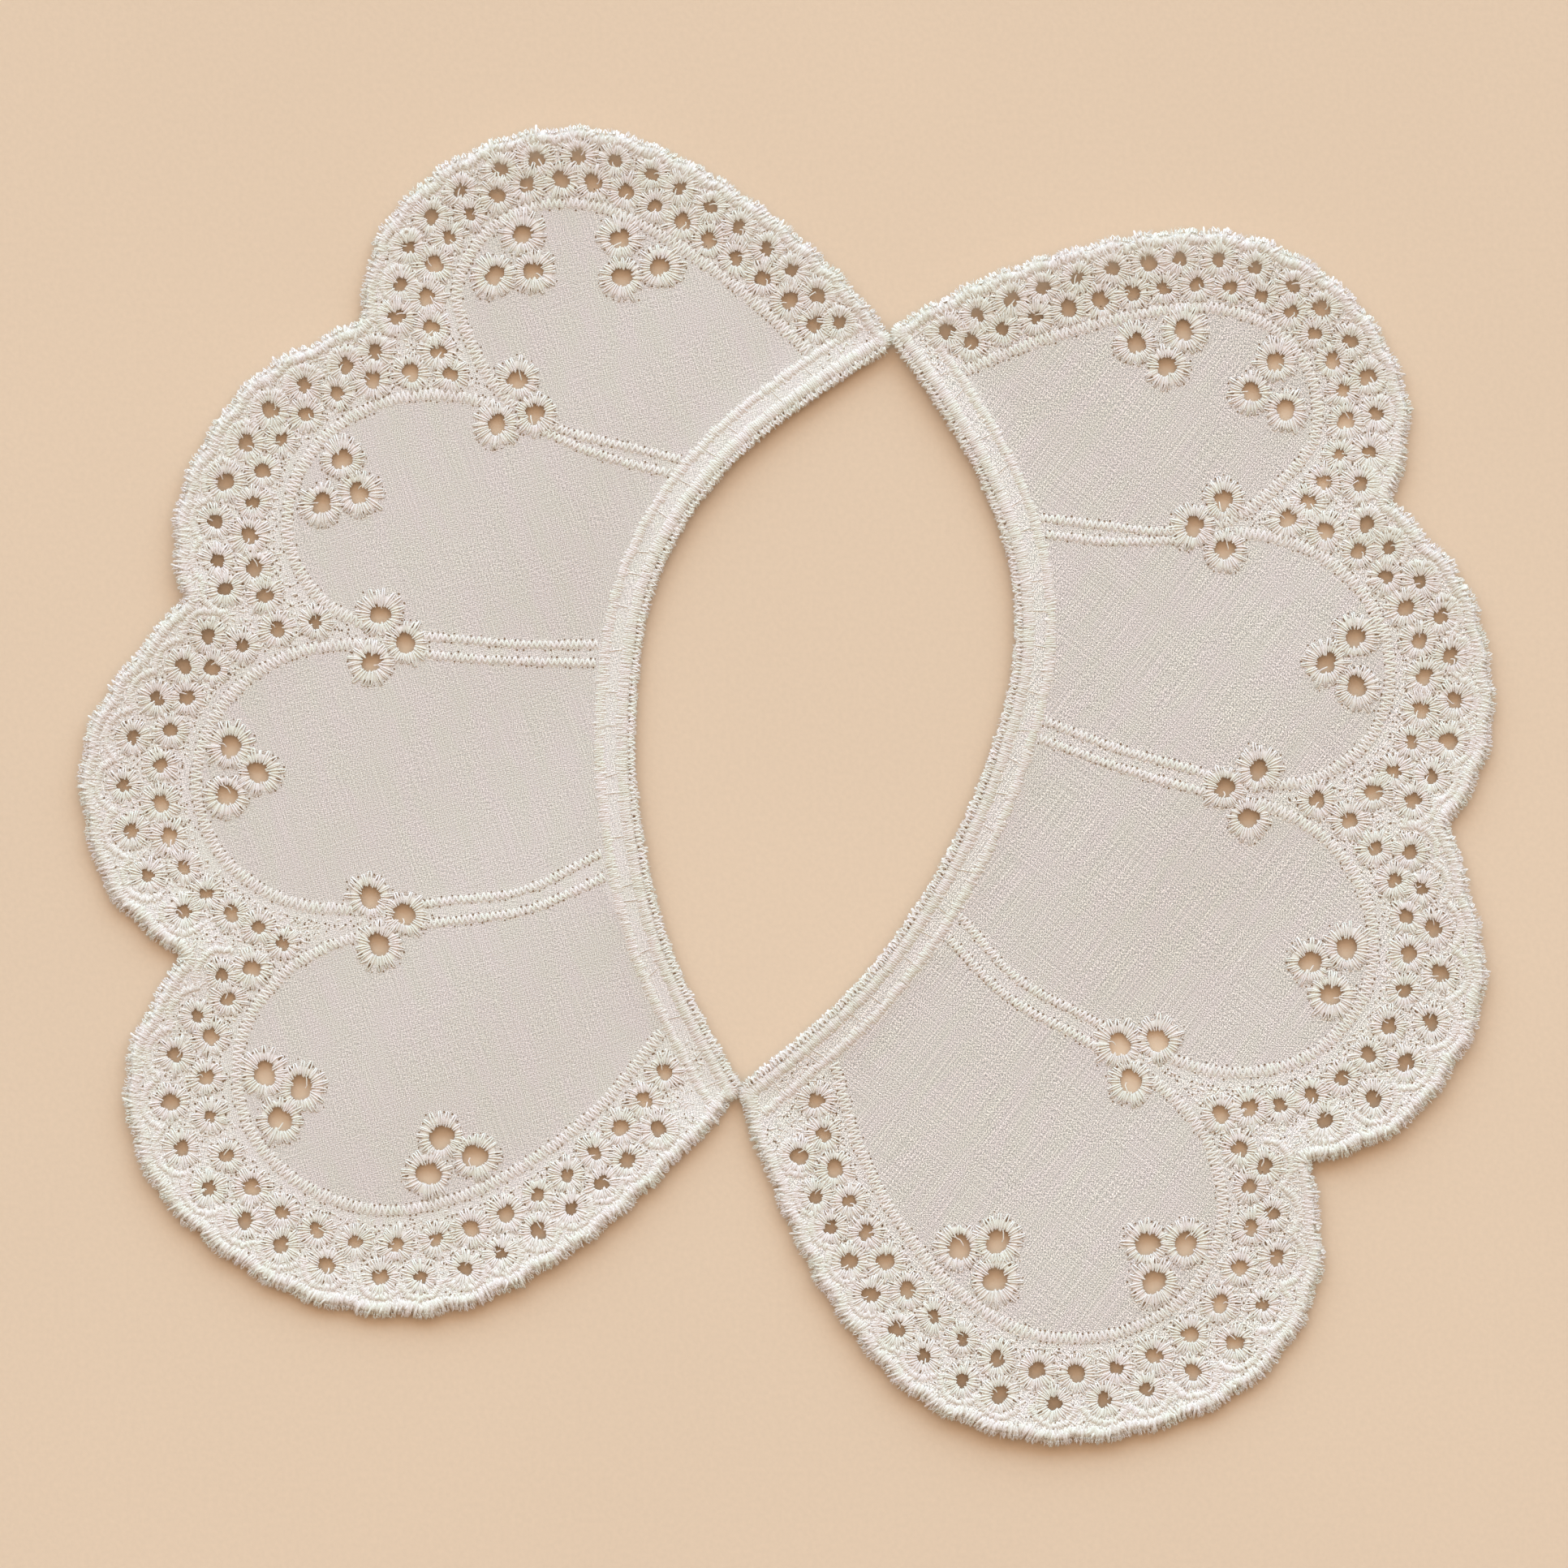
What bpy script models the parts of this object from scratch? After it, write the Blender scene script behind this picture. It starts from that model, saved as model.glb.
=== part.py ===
"""A two-piece collar of eyelet embroidery, laid flat on its back.

One pattern, drawn in millimetres, makes both halves. In it u runs outward from the straight line
between the neck corners and v runs along that line, and the right half is the left one turned over.
The world is in metres, +Z up, with the underside on z = 0 and the origin under the collar's middle.
"""

import math

import bmesh
import bpy
import numpy as np

MM = 0.001

# Thicknesses and cord sections, in millimetres. A cord is a low ridge, widest at its foot.
CLOTH_THICKNESS = 1.0
SEAT_GAP = 0.3
CORDS = {
    "edge_cord": {"width": 2.0, "height": 0.8},
    "neck_cord": {"width": 2.4, "height": 0.9},
    "inner_neck_cord": {"width": 2.0, "height": 0.8},
    "petal": {"width": 2.0, "height": 0.8},
}

# How each half is laid: its neck line leans from upright, the cloth is a little slack or stretched
# along that line, and the middle of the line stands at (x, y).
LEAN = math.radians(11.4)
SKEW = math.radians(1.05)
HALVES = {
    "left": {"side": -1, "stretch": 0.993, "middle": (5.86, 14.49)},
    "right": {"side": 1, "stretch": 1.007, "middle": (6.36, 15.39)},
}

# The neck edge, from the upper neck corner to the lower one, and the cords that run beside it: how
# far in from the edge each lies and how far from the corners it stops.
NECK_EDGE = [
    (0.1, 82.2), (12.8, 69.9), (25.4, 55.6), (35.0, 39.0), (39.8, 20.5), (39.3, 1.5),
    (36.0, -17.5), (30.2, -35.5), (22.0, -53.0), (11.2, -68.3), (0.1, -81.6),
]
NECK_CORDS = {
    "neck_cord": {"inset": 2.5, "end": 3.0},
    "inner_neck_cord": {"inset": 7.4, "end": 11.0},
}
NECK_BAND = 10.0

# The outer edge is one lobe for each petal, and lobes meet in sharp notches. `eyelets` are the
# stations along the lobe of its outer row of eyelets, each in a scallop of its own, and `depth` is
# how far in from the edge the row lies at the lobe's start, middle and end.
LOBES = [
    {
        "edge": [(0.4, 85.2), (15.0, 97.2), (31.5, 106.7), (49.5, 114.2), (68.3, 117.9), (87.0, 114.0),
                 (103.0, 103.0), (113.0, 86.5), (113.3, 67.5)],
        "eyelets": [9, 17, 25.5, 33, 41, 49, 57.5, 64.5, 74, 83.5, 94, 103, 114, 124, 134, 145, 152],
        "depth": (7.0, 5.9, 7.7),
    },
    {
        "edge": [(113.3, 67.5), (121.2, 61.7), (129.2, 55.8), (135.5, 48.2), (139.8, 39.0), (143.0, 29.5),
                 (144.0, 19.5), (142.7, 10.2), (139.0, 1.1)],
        "eyelets": [0, 7, 17, 28.5, 39, 50, 61, 72.5, 79],
        "depth": (7.5, 7.8, 9.3),
    },
    {
        "edge": [(139.0, 1.1), (144.5, -9.0), (149.8, -19.4), (153.3, -30.5), (153.0, -42.1),
                 (149.1, -53.1), (143.4, -63.3), (134.5, -70.7), (124.2, -75.7)],
        "eyelets": [3, 11.5, 21, 33, 48, 60, 74, 88],
        "depth": (9.5, 9.3, 7.9),
    },
    {
        "edge": [(124.2, -75.7), (130.9, -100.4), (122.1, -123.8), (101.1, -138.8), (76.3, -145.3),
                 (51.1, -141.0), (30.4, -125.8), (14.2, -106.2), (0.4, -84.4)],
        "eyelets": [0, 9.5, 21, 36, 49, 63, 75, 85.5, 98, 112, 122, 134, 143.5, 153.5, 163, 172, 179.5,
                    189.5],
        "depth": (9.9, 8.3, 7.6),
    },
]
SCALLOP_HEIGHT = 0.8
SCALLOP_MEAN = 0.6
SCALLOP_STEPS = 4
SHORTEST_SCALLOP = 5.0
EDGE_CORD_INSET = 1.3

# Each petal's satin line, from the neck, round the petal's end and back. Its inner row of eyelets
# follows it outside: eyelet k lies at first + pitch * k + ease * k * k along the line, and `depth` is
# its distance from the line at the row's start, middle and end.
PETALS = [
    {
        "line": [(17.5, 79.0), (29.0, 86.3), (41.0, 92.6), (53.5, 97.9), (66.6, 101.3), (80.0, 99.5),
                 (90.4, 91.2), (94.2, 78.4), (88.4, 66.5), (79.1, 56.7), (66.8, 52.3), (53.3, 51.1),
                 (40.0, 50.4)],
        "row": {"count": 18, "first": 2.4, "pitch": 7.55, "ease": -0.084, "depth": (5.3, 5.0, 7.2)},
    },
    {
        "line": [(40.0, 46.9), (55.3, 48.0), (70.2, 51.1), (84.9, 55.1), (99.9, 53.2), (112.7, 45.1),
                 (120.1, 31.9), (119.0, 17.0), (108.9, 5.7), (94.4, 2.1), (79.2, 3.1), (64.0, 4.6),
                 (48.5, 7.6)],
        "row": {"count": 11, "first": 52.4, "pitch": 7.73, "ease": -0.156, "depth": (4.7, 6.9, 9.0)},
    },
    {
        "line": [(47.8, 3.6), (65.3, 0.7), (82.5, -1.2), (99.7, -1.9), (115.7, -8.0), (126.5, -21.2),
                 (128.4, -38.1), (119.8, -52.8), (104.3, -59.8), (87.2, -58.6), (70.6, -53.7), (54.3, -48.3),
                 (40.5, -38.2)],
        "row": {"count": 13, "first": 61.0, "pitch": 7.11, "ease": -0.074, "depth": (5.7, 7.9, 7.7)},
    },
    {
        "line": [(37.3, -42.0), (52.6, -52.3), (70.0, -58.3), (87.3, -64.4), (101.6, -75.5), (108.0, -92.4),
                 (102.8, -109.6), (88.5, -120.2), (70.5, -122.6), (53.5, -115.9), (39.3, -104.3), (27.7, -90.0),
                 (19.1, -73.7)],
        "row": {"count": 21, "first": 70.0, "pitch": 7.2, "ease": 0.0, "depth": (5.4, 7.5, 5.9)},
    },
]
PETAL_RUNS = {
    1: ["petal_1_arch", "petal_1_stem"],
    2: ["petal_2_upper_stem", "petal_2_arch", "petal_2_lower_stem"],
    3: ["petal_3_upper_stem", "petal_3_arch", "petal_3_lower_stem"],
    4: ["petal_4_stem", "petal_4_arch"],
}

# A trefoil has one near eyelet, in the direction `turn`, and two far ones spread to its sides.
TREFOIL_NEAR = 4.3
TREFOIL_FAR = 5.7
TREFOIL_SPREAD = 112
TREFOILS = [
    {"centre": (57.8, 91.2), "turn": -65, "eyelet": 4.4},
    {"centre": (82.7, 86.7), "turn": -157, "eyelet": 4.3},
    {"centre": (76.5, 55.4), "turn": -167, "eyelet": 4.4},
    {"centre": (110.4, 31.5), "turn": -167, "eyelet": 4.5},
    {"centre": (94.3, 0.1), "turn": 179, "eyelet": 4.4},
    {"centre": (120.0, -33.9), "turn": 173, "eyelet": 4.8},
    {"centre": (82.6, -59.8), "turn": 158, "eyelet": 4.9},
    {"centre": (96.9, -101.4), "turn": 151, "eyelet": 5.2},
    {"centre": (58.9, -108.2), "turn": 59, "eyelet": 5.3},
]
BORDER_EYELET = 3.8
BORDER_EYELET_SIDES = 6
TREFOIL_EYELET_SIDES = 8
TREFOIL_RING = 1.6

# Steps along the lines that become solids, in millimetres.
FINE_STEP = 0.5
NECK_STEP = 5.0
PETAL_STEP = 4.0
STEPS_BETWEEN_POINTS = 40
WELD = 0.01


def smooth(points):
    """A line through the points with no corner at any of them, as rows of (u, v) a fine step apart."""
    points = np.array(points, float)
    padded = np.vstack([2 * points[0] - points[1], points, 2 * points[-1] - points[-2]])
    t = np.linspace(0, 1, STEPS_BETWEEN_POINTS, endpoint=False)[:, None]
    pieces = []
    for before, a, b, after in zip(padded, padded[1:], padded[2:], padded[3:]):
        bend = 2 * before - 5 * a + 4 * b - after
        twist = 3 * a - before - 3 * b + after
        pieces.append(0.5 * (2 * a + (b - before) * t + bend * t**2 + twist * t**3))
    line = np.vstack(pieces + [points[-1:]])
    return at_stations(line, np.arange(0, length(line), FINE_STEP), keep_end=True)


def stations_of(line):
    """How far along the line each of its points lies."""
    return np.concatenate([[0], np.cumsum(np.linalg.norm(np.diff(line, axis=0), axis=1))])


def length(line):
    return stations_of(line)[-1]


def at_stations(line, stations, keep_end=False):
    """The points of a line at the given distances along it."""
    along = stations_of(line)
    found = np.stack([np.interp(stations, along, line[:, axis]) for axis in (0, 1)], axis=1)
    return np.vstack([found, line[-1:]]) if keep_end else found


def left_of(line, stations, distance):
    """Points beside a line: at these stations along it, and this far to its left."""
    ahead = at_stations(line, np.asarray(stations, float) + FINE_STEP)
    behind = at_stations(line, np.asarray(stations, float) - FINE_STEP)
    along = (ahead - behind) / np.linalg.norm(ahead - behind, axis=1, keepdims=True)
    across = np.stack([-along[:, 1], along[:, 0]], axis=1)
    return at_stations(line, stations) + across * np.reshape(distance, (-1, 1))


def eased(start, middle, end, fractions):
    """Runs smoothly from start through middle to end as the fraction goes from 0 to 1."""
    f = np.asarray(fractions, float)
    return start * (1 - f) * (1 - 2 * f) + middle * 4 * f * (1 - f) + end * f * (2 * f - 1)


def scalloped(lobe, inset):
    """A lobe's edge moved in by `inset`, with a low bump for each eyelet of its outer row."""
    line = smooth(lobe["edge"])
    total = length(line)
    centres = [s for s in lobe["eyelets"] if SHORTEST_SCALLOP < s < total - SHORTEST_SCALLOP]
    bounds = [0, *((a + b) / 2 for a, b in zip(centres, centres[1:])), total]
    stations, insets = [], []
    for start, end in zip(bounds, bounds[1:]):
        for f in np.arange(SCALLOP_STEPS) / SCALLOP_STEPS:
            stations.append(start + (end - start) * f)
            insets.append(inset - SCALLOP_HEIGHT * (math.sin(math.pi * f) - SCALLOP_MEAN))
    stations.append(total)
    insets.append(inset + SCALLOP_HEIGHT * SCALLOP_MEAN)
    return left_of(line, stations, -np.array(insets))


def outline():
    """The panel's closed outline: the lobes from the upper corner to the lower one, then the neck."""
    edge = np.vstack([scalloped(lobe, 0) for lobe in LOBES])
    neck = smooth(NECK_EDGE)
    stations = np.linspace(length(neck), 0, round(length(neck) / NECK_STEP))
    return np.vstack([edge, at_stations(neck, stations)])


def border_eyelets():
    """The centres of a half's border eyelets: the row in the scallops and the row beside the petals."""
    centres = []
    for lobe in LOBES:
        line = smooth(lobe["edge"])
        stations = np.array(lobe["eyelets"], float)
        centres.append(left_of(line, stations, -eased(*lobe["depth"], stations / length(line))))
    for petal in PETALS:
        row = petal["row"]
        k = np.arange(row["count"])
        stations = row["first"] + row["pitch"] * k + row["ease"] * k**2
        depth = eased(*row["depth"], k / k[-1])
        centres.append(left_of(smooth(petal["line"]), stations, depth))
    return np.vstack(centres)


def trefoil_eyelets():
    """(centre, diameter) of each eyelet of a half's trefoils."""
    found = []
    for trefoil in TREFOILS:
        far = [(TREFOIL_SPREAD, TREFOIL_FAR), (-TREFOIL_SPREAD, TREFOIL_FAR)]
        for swing, reach in [(0, TREFOIL_NEAR), *far]:
            angle = math.radians(trefoil["turn"] + swing)
            centre = np.array(trefoil["centre"]) + reach * np.array([math.cos(angle), math.sin(angle)])
            found.append((centre, trefoil["eyelet"]))
    return found


def circle(centre, diameter, sides):
    """A round hole's outline, as a polygon."""
    turns = 2 * math.pi * np.arange(sides) / sides
    return np.array(centre) + diameter / 2 * np.stack([np.cos(turns), np.sin(turns)], axis=1)


def clear_runs(line):
    """The stretches of a petal's line that neither the neck's band nor a trefoil ring covers."""
    fine = at_stations(line, np.arange(0, length(line), FINE_STEP), keep_end=True)
    to_neck = np.linalg.norm(fine[:, None] - smooth(NECK_EDGE)[None], axis=2).min(axis=1)
    covered = to_neck < NECK_BAND
    for centre, diameter in trefoil_eyelets():
        covered |= np.linalg.norm(fine - centre, axis=1) < diameter / 2 + TREFOIL_RING
    starts = np.flatnonzero(~covered & np.concatenate([[True], covered[:-1]]))
    ends = np.flatnonzero(~covered & np.concatenate([covered[1:], [True]]))
    return [fine[a:b + 1] for a, b in zip(starts, ends) if b - a > PETAL_STEP / FINE_STEP]


def laid(half, points):
    """Pattern points, in millimetres, where this half lies on the surface, in metres."""
    along = math.pi / 2 - LEAN
    outward = along - half["side"] * math.pi / 2 + SKEW
    u_axis = np.array([math.cos(outward), math.sin(outward)])
    v_axis = np.array([math.cos(along), math.sin(along)]) * half["stretch"]
    points = np.asarray(points)
    return MM * (np.array(half["middle"]) + points[:, :1] * u_axis + points[:, 1:] * v_axis)


def fabric(name, colour, roughness):
    """A matt material, its colour in linear values."""
    material = bpy.data.materials.new(name)
    material.use_nodes = True
    shader = material.node_tree.nodes["Principled BSDF"]
    shader.inputs["Base Color"].default_value = (*colour, 1)
    shader.inputs["Roughness"].default_value = roughness
    return material


def add_spline(curve, points, height, closed):
    """Adds a straight-sided line through the points to a curve."""
    spline = curve.splines.new("POLY")
    spline.points.add(len(points) - 1)
    for target, (x, y) in zip(spline.points, points):
        target.co = (x, y, height, 1)
    spline.use_cyclic_u = closed


def as_mesh(curve_object, collection):
    """Turns a curve object into a mesh object of the same name, with its caps welded to its sides."""
    name = curve_object.name
    graph = bpy.context.evaluated_depsgraph_get()
    mesh = bpy.data.meshes.new_from_object(curve_object.evaluated_get(graph))
    place = curve_object.matrix_world.copy()
    bpy.data.objects.remove(curve_object)
    solid = bpy.data.objects.new(name, mesh)
    solid.matrix_world = place
    collection.objects.link(solid)
    weld(mesh)
    return solid


def weld(mesh):
    """Merges the points where caps meet sides, and turns every face outward."""
    shape = bmesh.new()
    shape.from_mesh(mesh)
    bmesh.ops.remove_doubles(shape, verts=shape.verts, dist=MM * WELD)
    bmesh.ops.recalc_face_normals(shape, faces=shape.faces)
    shape.to_mesh(mesh)
    shape.free()


def panel(side, half, collection):
    """The embroidered cloth of one half, with its outline and every eyelet cut through it."""
    curve = bpy.data.curves.new(f"{side}_panel", "CURVE")
    curve.dimensions = "2D"
    curve.fill_mode = "BOTH"
    curve.extrude = MM * CLOTH_THICKNESS / 2
    rings = [outline()]
    rings += [circle(centre, BORDER_EYELET, BORDER_EYELET_SIDES) for centre in border_eyelets()]
    rings += [circle(centre, across, TREFOIL_EYELET_SIDES) for centre, across in trefoil_eyelets()]
    for ring in rings:
        add_spline(curve, laid(half, ring), 0, closed=True)
    cloth = bpy.data.objects.new(f"{side}_panel", curve)
    cloth.location.z = MM * CLOTH_THICKNESS / 2
    collection.objects.link(cloth)
    bpy.context.view_layer.update()
    return as_mesh(cloth, collection)


def cord_section(kind, guides):
    """The section of a cord, drawn once for its kind: flat below, with a ridge on top."""
    size = CORDS[kind]
    curve = bpy.data.curves.new(f"{kind}_section", "CURVE")
    half_width = MM * size["width"] / 2
    section = bpy.data.objects.new(f"{kind}_section", curve)
    add_spline(curve, [(-half_width, 0), (half_width, 0), (0, MM * size["height"])], 0, closed=True)
    section.hide_render = True
    section.display_type = "WIRE"
    guides.objects.link(section)
    return section


def cord(name, line, section, collection):
    """A raised satin cord that follows a line just above the cloth."""
    curve = bpy.data.curves.new(name, "CURVE")
    curve.dimensions = "3D"
    curve.twist_mode = "Z_UP"
    curve.bevel_mode = "OBJECT"
    curve.bevel_object = section
    curve.use_fill_caps = True
    add_spline(curve, line, MM * (CLOTH_THICKNESS + SEAT_GAP), closed=False)
    ridge = bpy.data.objects.new(name, curve)
    collection.objects.link(ridge)
    bpy.context.view_layer.update()
    return as_mesh(ridge, collection)


def cord_lines():
    """Each cord of a half as (name, section kind, line)."""
    edge = np.vstack([scalloped(lobe, EDGE_CORD_INSET) for lobe in LOBES])
    lines = [("edge_cord", "edge_cord", edge[1:-1])]
    neck = smooth(NECK_EDGE)
    for name, cord_place in NECK_CORDS.items():
        start, end = cord_place["end"], length(neck) - cord_place["end"]
        stations = np.linspace(start, end, round((end - start) / NECK_STEP))
        lines.append((name, name, left_of(neck, stations, cord_place["inset"])))
    for number, petal in enumerate(PETALS, start=1):
        for name, run in zip(PETAL_RUNS[number], clear_runs(smooth(petal["line"]))):
            count = max(3, round(length(run) / PETAL_STEP) + 1)
            lines.append((name, "petal", at_stations(run, np.linspace(0, length(run), count))))
    return lines


def main():
    """Builds both halves: each panel, then the cords that lie on it."""
    for thing in list(bpy.data.objects):
        bpy.data.objects.remove(thing)
    collar = bpy.data.collections.new("eyelet_collar")
    guides = bpy.data.collections.new("cord_sections")
    for collection in (collar, guides):
        bpy.context.scene.collection.children.link(collection)
    cotton = fabric("cotton_lawn", (0.66, 0.60, 0.54), 0.9)
    thread = fabric("embroidery_thread", (0.80, 0.76, 0.71), 0.7)
    sections = {kind: cord_section(kind, guides) for kind in CORDS}
    for side, half in HALVES.items():
        panel(side, half, collar).data.materials.append(cotton)
        for name, kind, line in cord_lines():
            cord(f"{side}_{name}", laid(half, line), sections[kind], collar).data.materials.append(thread)


main()
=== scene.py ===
# %% [markdown]
# # A collar of eyelet embroidery
# The real object is a detachable collar: two mirrored halves of thin white cotton, each with four
# scalloped petals, rows of eyelets, satin lines and an overcast edge. The solids of the part give
# every outline, eyelet and line. This lesson puts cloth, thread and light on them.

import math

import bmesh
import bpy
import numpy as np
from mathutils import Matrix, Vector
from mathutils.geometry import delaunay_2d_cdt


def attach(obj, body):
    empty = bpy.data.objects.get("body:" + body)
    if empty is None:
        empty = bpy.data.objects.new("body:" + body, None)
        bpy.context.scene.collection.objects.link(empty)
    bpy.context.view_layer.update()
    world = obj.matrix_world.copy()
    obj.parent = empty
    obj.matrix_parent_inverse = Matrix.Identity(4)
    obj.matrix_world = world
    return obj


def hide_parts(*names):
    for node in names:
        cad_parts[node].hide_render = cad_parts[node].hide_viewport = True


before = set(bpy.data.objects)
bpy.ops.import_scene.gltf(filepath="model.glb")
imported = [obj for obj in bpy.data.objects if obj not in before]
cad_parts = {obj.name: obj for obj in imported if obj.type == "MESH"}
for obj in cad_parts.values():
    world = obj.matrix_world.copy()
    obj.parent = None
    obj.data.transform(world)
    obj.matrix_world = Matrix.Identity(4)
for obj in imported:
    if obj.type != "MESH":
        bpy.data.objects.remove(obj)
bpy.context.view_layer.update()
MM = 0.001
SIDES = ("left", "right")

# %% [markdown]
# ## The camera
# The collar is looked at from straight above, so a long lens high over the table keeps every
# eyelet round. The lens length follows from the square of table that the picture takes in.

# %% Put the camera over the table
PICTURE_WIDTH = 340.03 * MM
PICTURE_MIDDLE = (-0.57 * MM, 0.30 * MM)
CAMERA_HEIGHT = 1.6
SENSOR_WIDTH = 36.0

bpy.ops.object.select_all(action="DESELECT")
bpy.ops.object.camera_add(location=(*PICTURE_MIDDLE, CAMERA_HEIGHT), rotation=(0, 0, 0))
camera = bpy.context.object
camera.name = "camera_overhead"
camera.data.sensor_width = SENSOR_WIDTH
camera.data.lens = SENSOR_WIDTH * CAMERA_HEIGHT / PICTURE_WIDTH
camera.data.clip_start = 0.01
bpy.context.scene.camera = camera
print("lens in mm:", round(camera.data.lens, 1))

# %% [markdown]
# ## Shader nodes
# Every finish is a small tree of nodes on one shader, and the room's light is another. Helpers make
# a node, set its values and join its inputs, so each finish below reads like a recipe. Patterns
# read object coordinates, in metres, or the thread's own UV map.


# %% Helpers for shader nodes
def new_finish(name, roughness, sheen, specular=0.25):
    finish = bpy.data.materials.new(name)
    finish.use_nodes = True
    shader = finish.node_tree.nodes["Principled BSDF"]
    shader.inputs["Roughness"].default_value = roughness
    shader.inputs["Sheen Weight"].default_value = sheen
    shader.inputs["Specular IOR Level"].default_value = specular
    return finish, shader


def node(owner, kind, settings=None, **inputs):
    """A new node. Its inputs go by name, or by the letter i and their number."""
    made = owner.node_tree.nodes.new("ShaderNode" + kind)
    for key, value in (settings or {}).items():
        setattr(made, key, value)
    for key, value in inputs.items():
        socket = made.inputs[int(key[1:]) if key[1:].isdigit() else key]
        if isinstance(value, bpy.types.NodeSocket):
            owner.node_tree.links.new(value, socket)
        else:
            socket.default_value = value
    return made


def calc(owner, operation, *values):
    inputs = {f"i{k}": value for k, value in enumerate(values)}
    return node(owner, "Math", {"operation": operation}, **inputs).outputs[0]


def noise(finish, vector, scale, detail=2.0):
    return node(finish, "TexNoise", Vector=vector, Scale=scale, Detail=detail).outputs["Fac"]


def bands(finish, vector, direction, **inputs):
    settings = {"wave_type": "BANDS", "bands_direction": direction}
    return node(finish, "TexWave", settings, Vector=vector, **inputs).outputs["Fac"]


def mapped(finish, vector, **inputs):
    return node(finish, "Mapping", Vector=vector, **inputs).outputs["Vector"]


def mix(finish, one, other, share=1.0, blend="MULTIPLY"):
    settings = {"data_type": "RGBA", "blend_type": blend}
    return node(finish, "Mix", settings, i0=share, i6=one, i7=other).outputs[2]


def ramp(finish, factor, *stops):
    """Each stop is a place and a colour, or a place and one number for a grey."""
    made = node(finish, "ValToRGB", Fac=factor)
    elements = made.color_ramp.elements
    while len(elements) < len(stops):
        elements.new(0.5)
    for element, (place, colour) in zip(elements, stops):
        element.position = place
        element.color = (*(colour if isinstance(colour, tuple) else (colour,) * 3), 1)
    return made.outputs["Color"]


def cover(finish, shader, colour, height, strength, depth):
    """Join a colour and a bump to the shader."""
    bump = node(finish, "Bump", Height=height, Strength=strength, Distance=depth)
    finish.node_tree.links.new(colour, shader.inputs["Base Color"])
    finish.node_tree.links.new(bump.outputs["Normal"], shader.inputs["Normal"])


# %% [markdown]
# ## Light and table
# Soft daylight comes in low through a wide window on the far side of the table, so each raised
# edge has a bright far side and a soft shadow on its near side. Four sun lamps with wide discs are
# the window's panes, three side by side and a weaker one above, and they light the whole table
# alike. The room fills the shadows with warmer light than the window's, as plain walls do, and the
# room too is brighter overhead and on the window's side. Together the two are white. One large
# plane is the table, smooth warm paper with the faintest tooth.

# %% Set the window and the room
PANES = (
    # name, degrees round from the far side, degrees up, strength
    ("left", -38, 20, 1.56),
    ("middle", 0, 20, 1.56),
    ("right", 38, 20, 1.56),
    ("upper", 0, 47, 0.26),
)
PANE_SOFTNESS = math.radians(36)
PANE_COLOUR = (0.475, 0.757, 1.0)
ROOM_COLOUR = (1.0, 0.778, 0.595, 1)
ROOM_STRENGTH = 0.755
ROOM_LEAN = (0.0, 0.72, 0.6)
ROOM_EVEN = 0.6
ROOM_DARKEST = 0.02

for place, round_by, up_by, strength in PANES:
    bpy.ops.object.light_add(type="SUN", location=(0, 1, 1))
    pane = bpy.context.object
    pane.name = "window_pane_" + place
    pane.data.energy = strength
    pane.data.color = PANE_COLOUR
    pane.data.angle = PANE_SOFTNESS
    pane.rotation_euler = (math.radians(up_by - 90), 0, math.radians(round_by))

room = bpy.data.worlds.new("warm_room")
bpy.context.scene.world = room
room.use_nodes = True
direction = node(room, "TexCoord").outputs["Generated"]
leaning = node(room, "VectorMath", {"operation": "DOT_PRODUCT"}, i0=direction, i1=ROOM_LEAN)
brighter = calc(room, "ADD", leaning.outputs["Value"], ROOM_EVEN)
scaled = calc(room, "MULTIPLY", calc(room, "MAXIMUM", brighter, ROOM_DARKEST), ROOM_STRENGTH)
background = room.node_tree.nodes["Background"]
room.node_tree.links.new(scaled, background.inputs["Strength"])
background.inputs["Color"].default_value = ROOM_COLOUR
bpy.context.scene.view_settings.view_transform = "Standard"
share = sum(strength * math.sin(math.radians(up_by)) for _, _, up_by, strength in PANES) / math.pi
print("light on the table: window", round(share, 2), "room", ROOM_STRENGTH)

# %% Lay the table
TABLE_COLOUR = (0.760, 0.584, 0.424)
TABLE_SIZE = 9.0

table_finish, shader = new_finish("warm_paper", 0.9, 0.0)
place = node(table_finish, "TexCoord").outputs["Object"]
tooth = noise(table_finish, place, 900.0, 3.0)
fleck = ramp(table_finish, tooth, (0.3, 0.975), (0.7, 1.015))
drift = ramp(table_finish, noise(table_finish, place, 9.0), (0.3, 0.985), (0.7, 1.01))
tinted = mix(table_finish, (*TABLE_COLOUR, 1), mix(table_finish, fleck, drift))
cover(table_finish, shader, tinted, tooth, 0.12, 0.0002)

bpy.ops.object.select_all(action="DESELECT")
bpy.ops.mesh.primitive_plane_add(size=TABLE_SIZE, location=(0, 0, 0))
table = bpy.context.object
table.name = "table_top"
table.data.materials.append(table_finish)
print("table finish nodes:", len(table_finish.node_tree.nodes))

# %% [markdown]
# ## Cotton lawn
# Lawn is a fine plain weave. Two waves at right angles are its warp and weft, stretched noises
# thicken a thread here and there as spinning does, a fine even grain is the fuzz of the yarn, and a
# slow noise tints it a little pinker or greener. In the worked border, where needles have pushed
# the threads about, a mottle covers the weave; the cloth's "worked" attribute says where that is.
# Each half is cut on its own grain.

# %% Make the lawn
LAWN_COLOUR = (0.673, 0.612, 0.559)
WORKED_COLOUR = (0.768, 0.717, 0.660)
WEAVE_PITCH = 0.38 * MM
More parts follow.
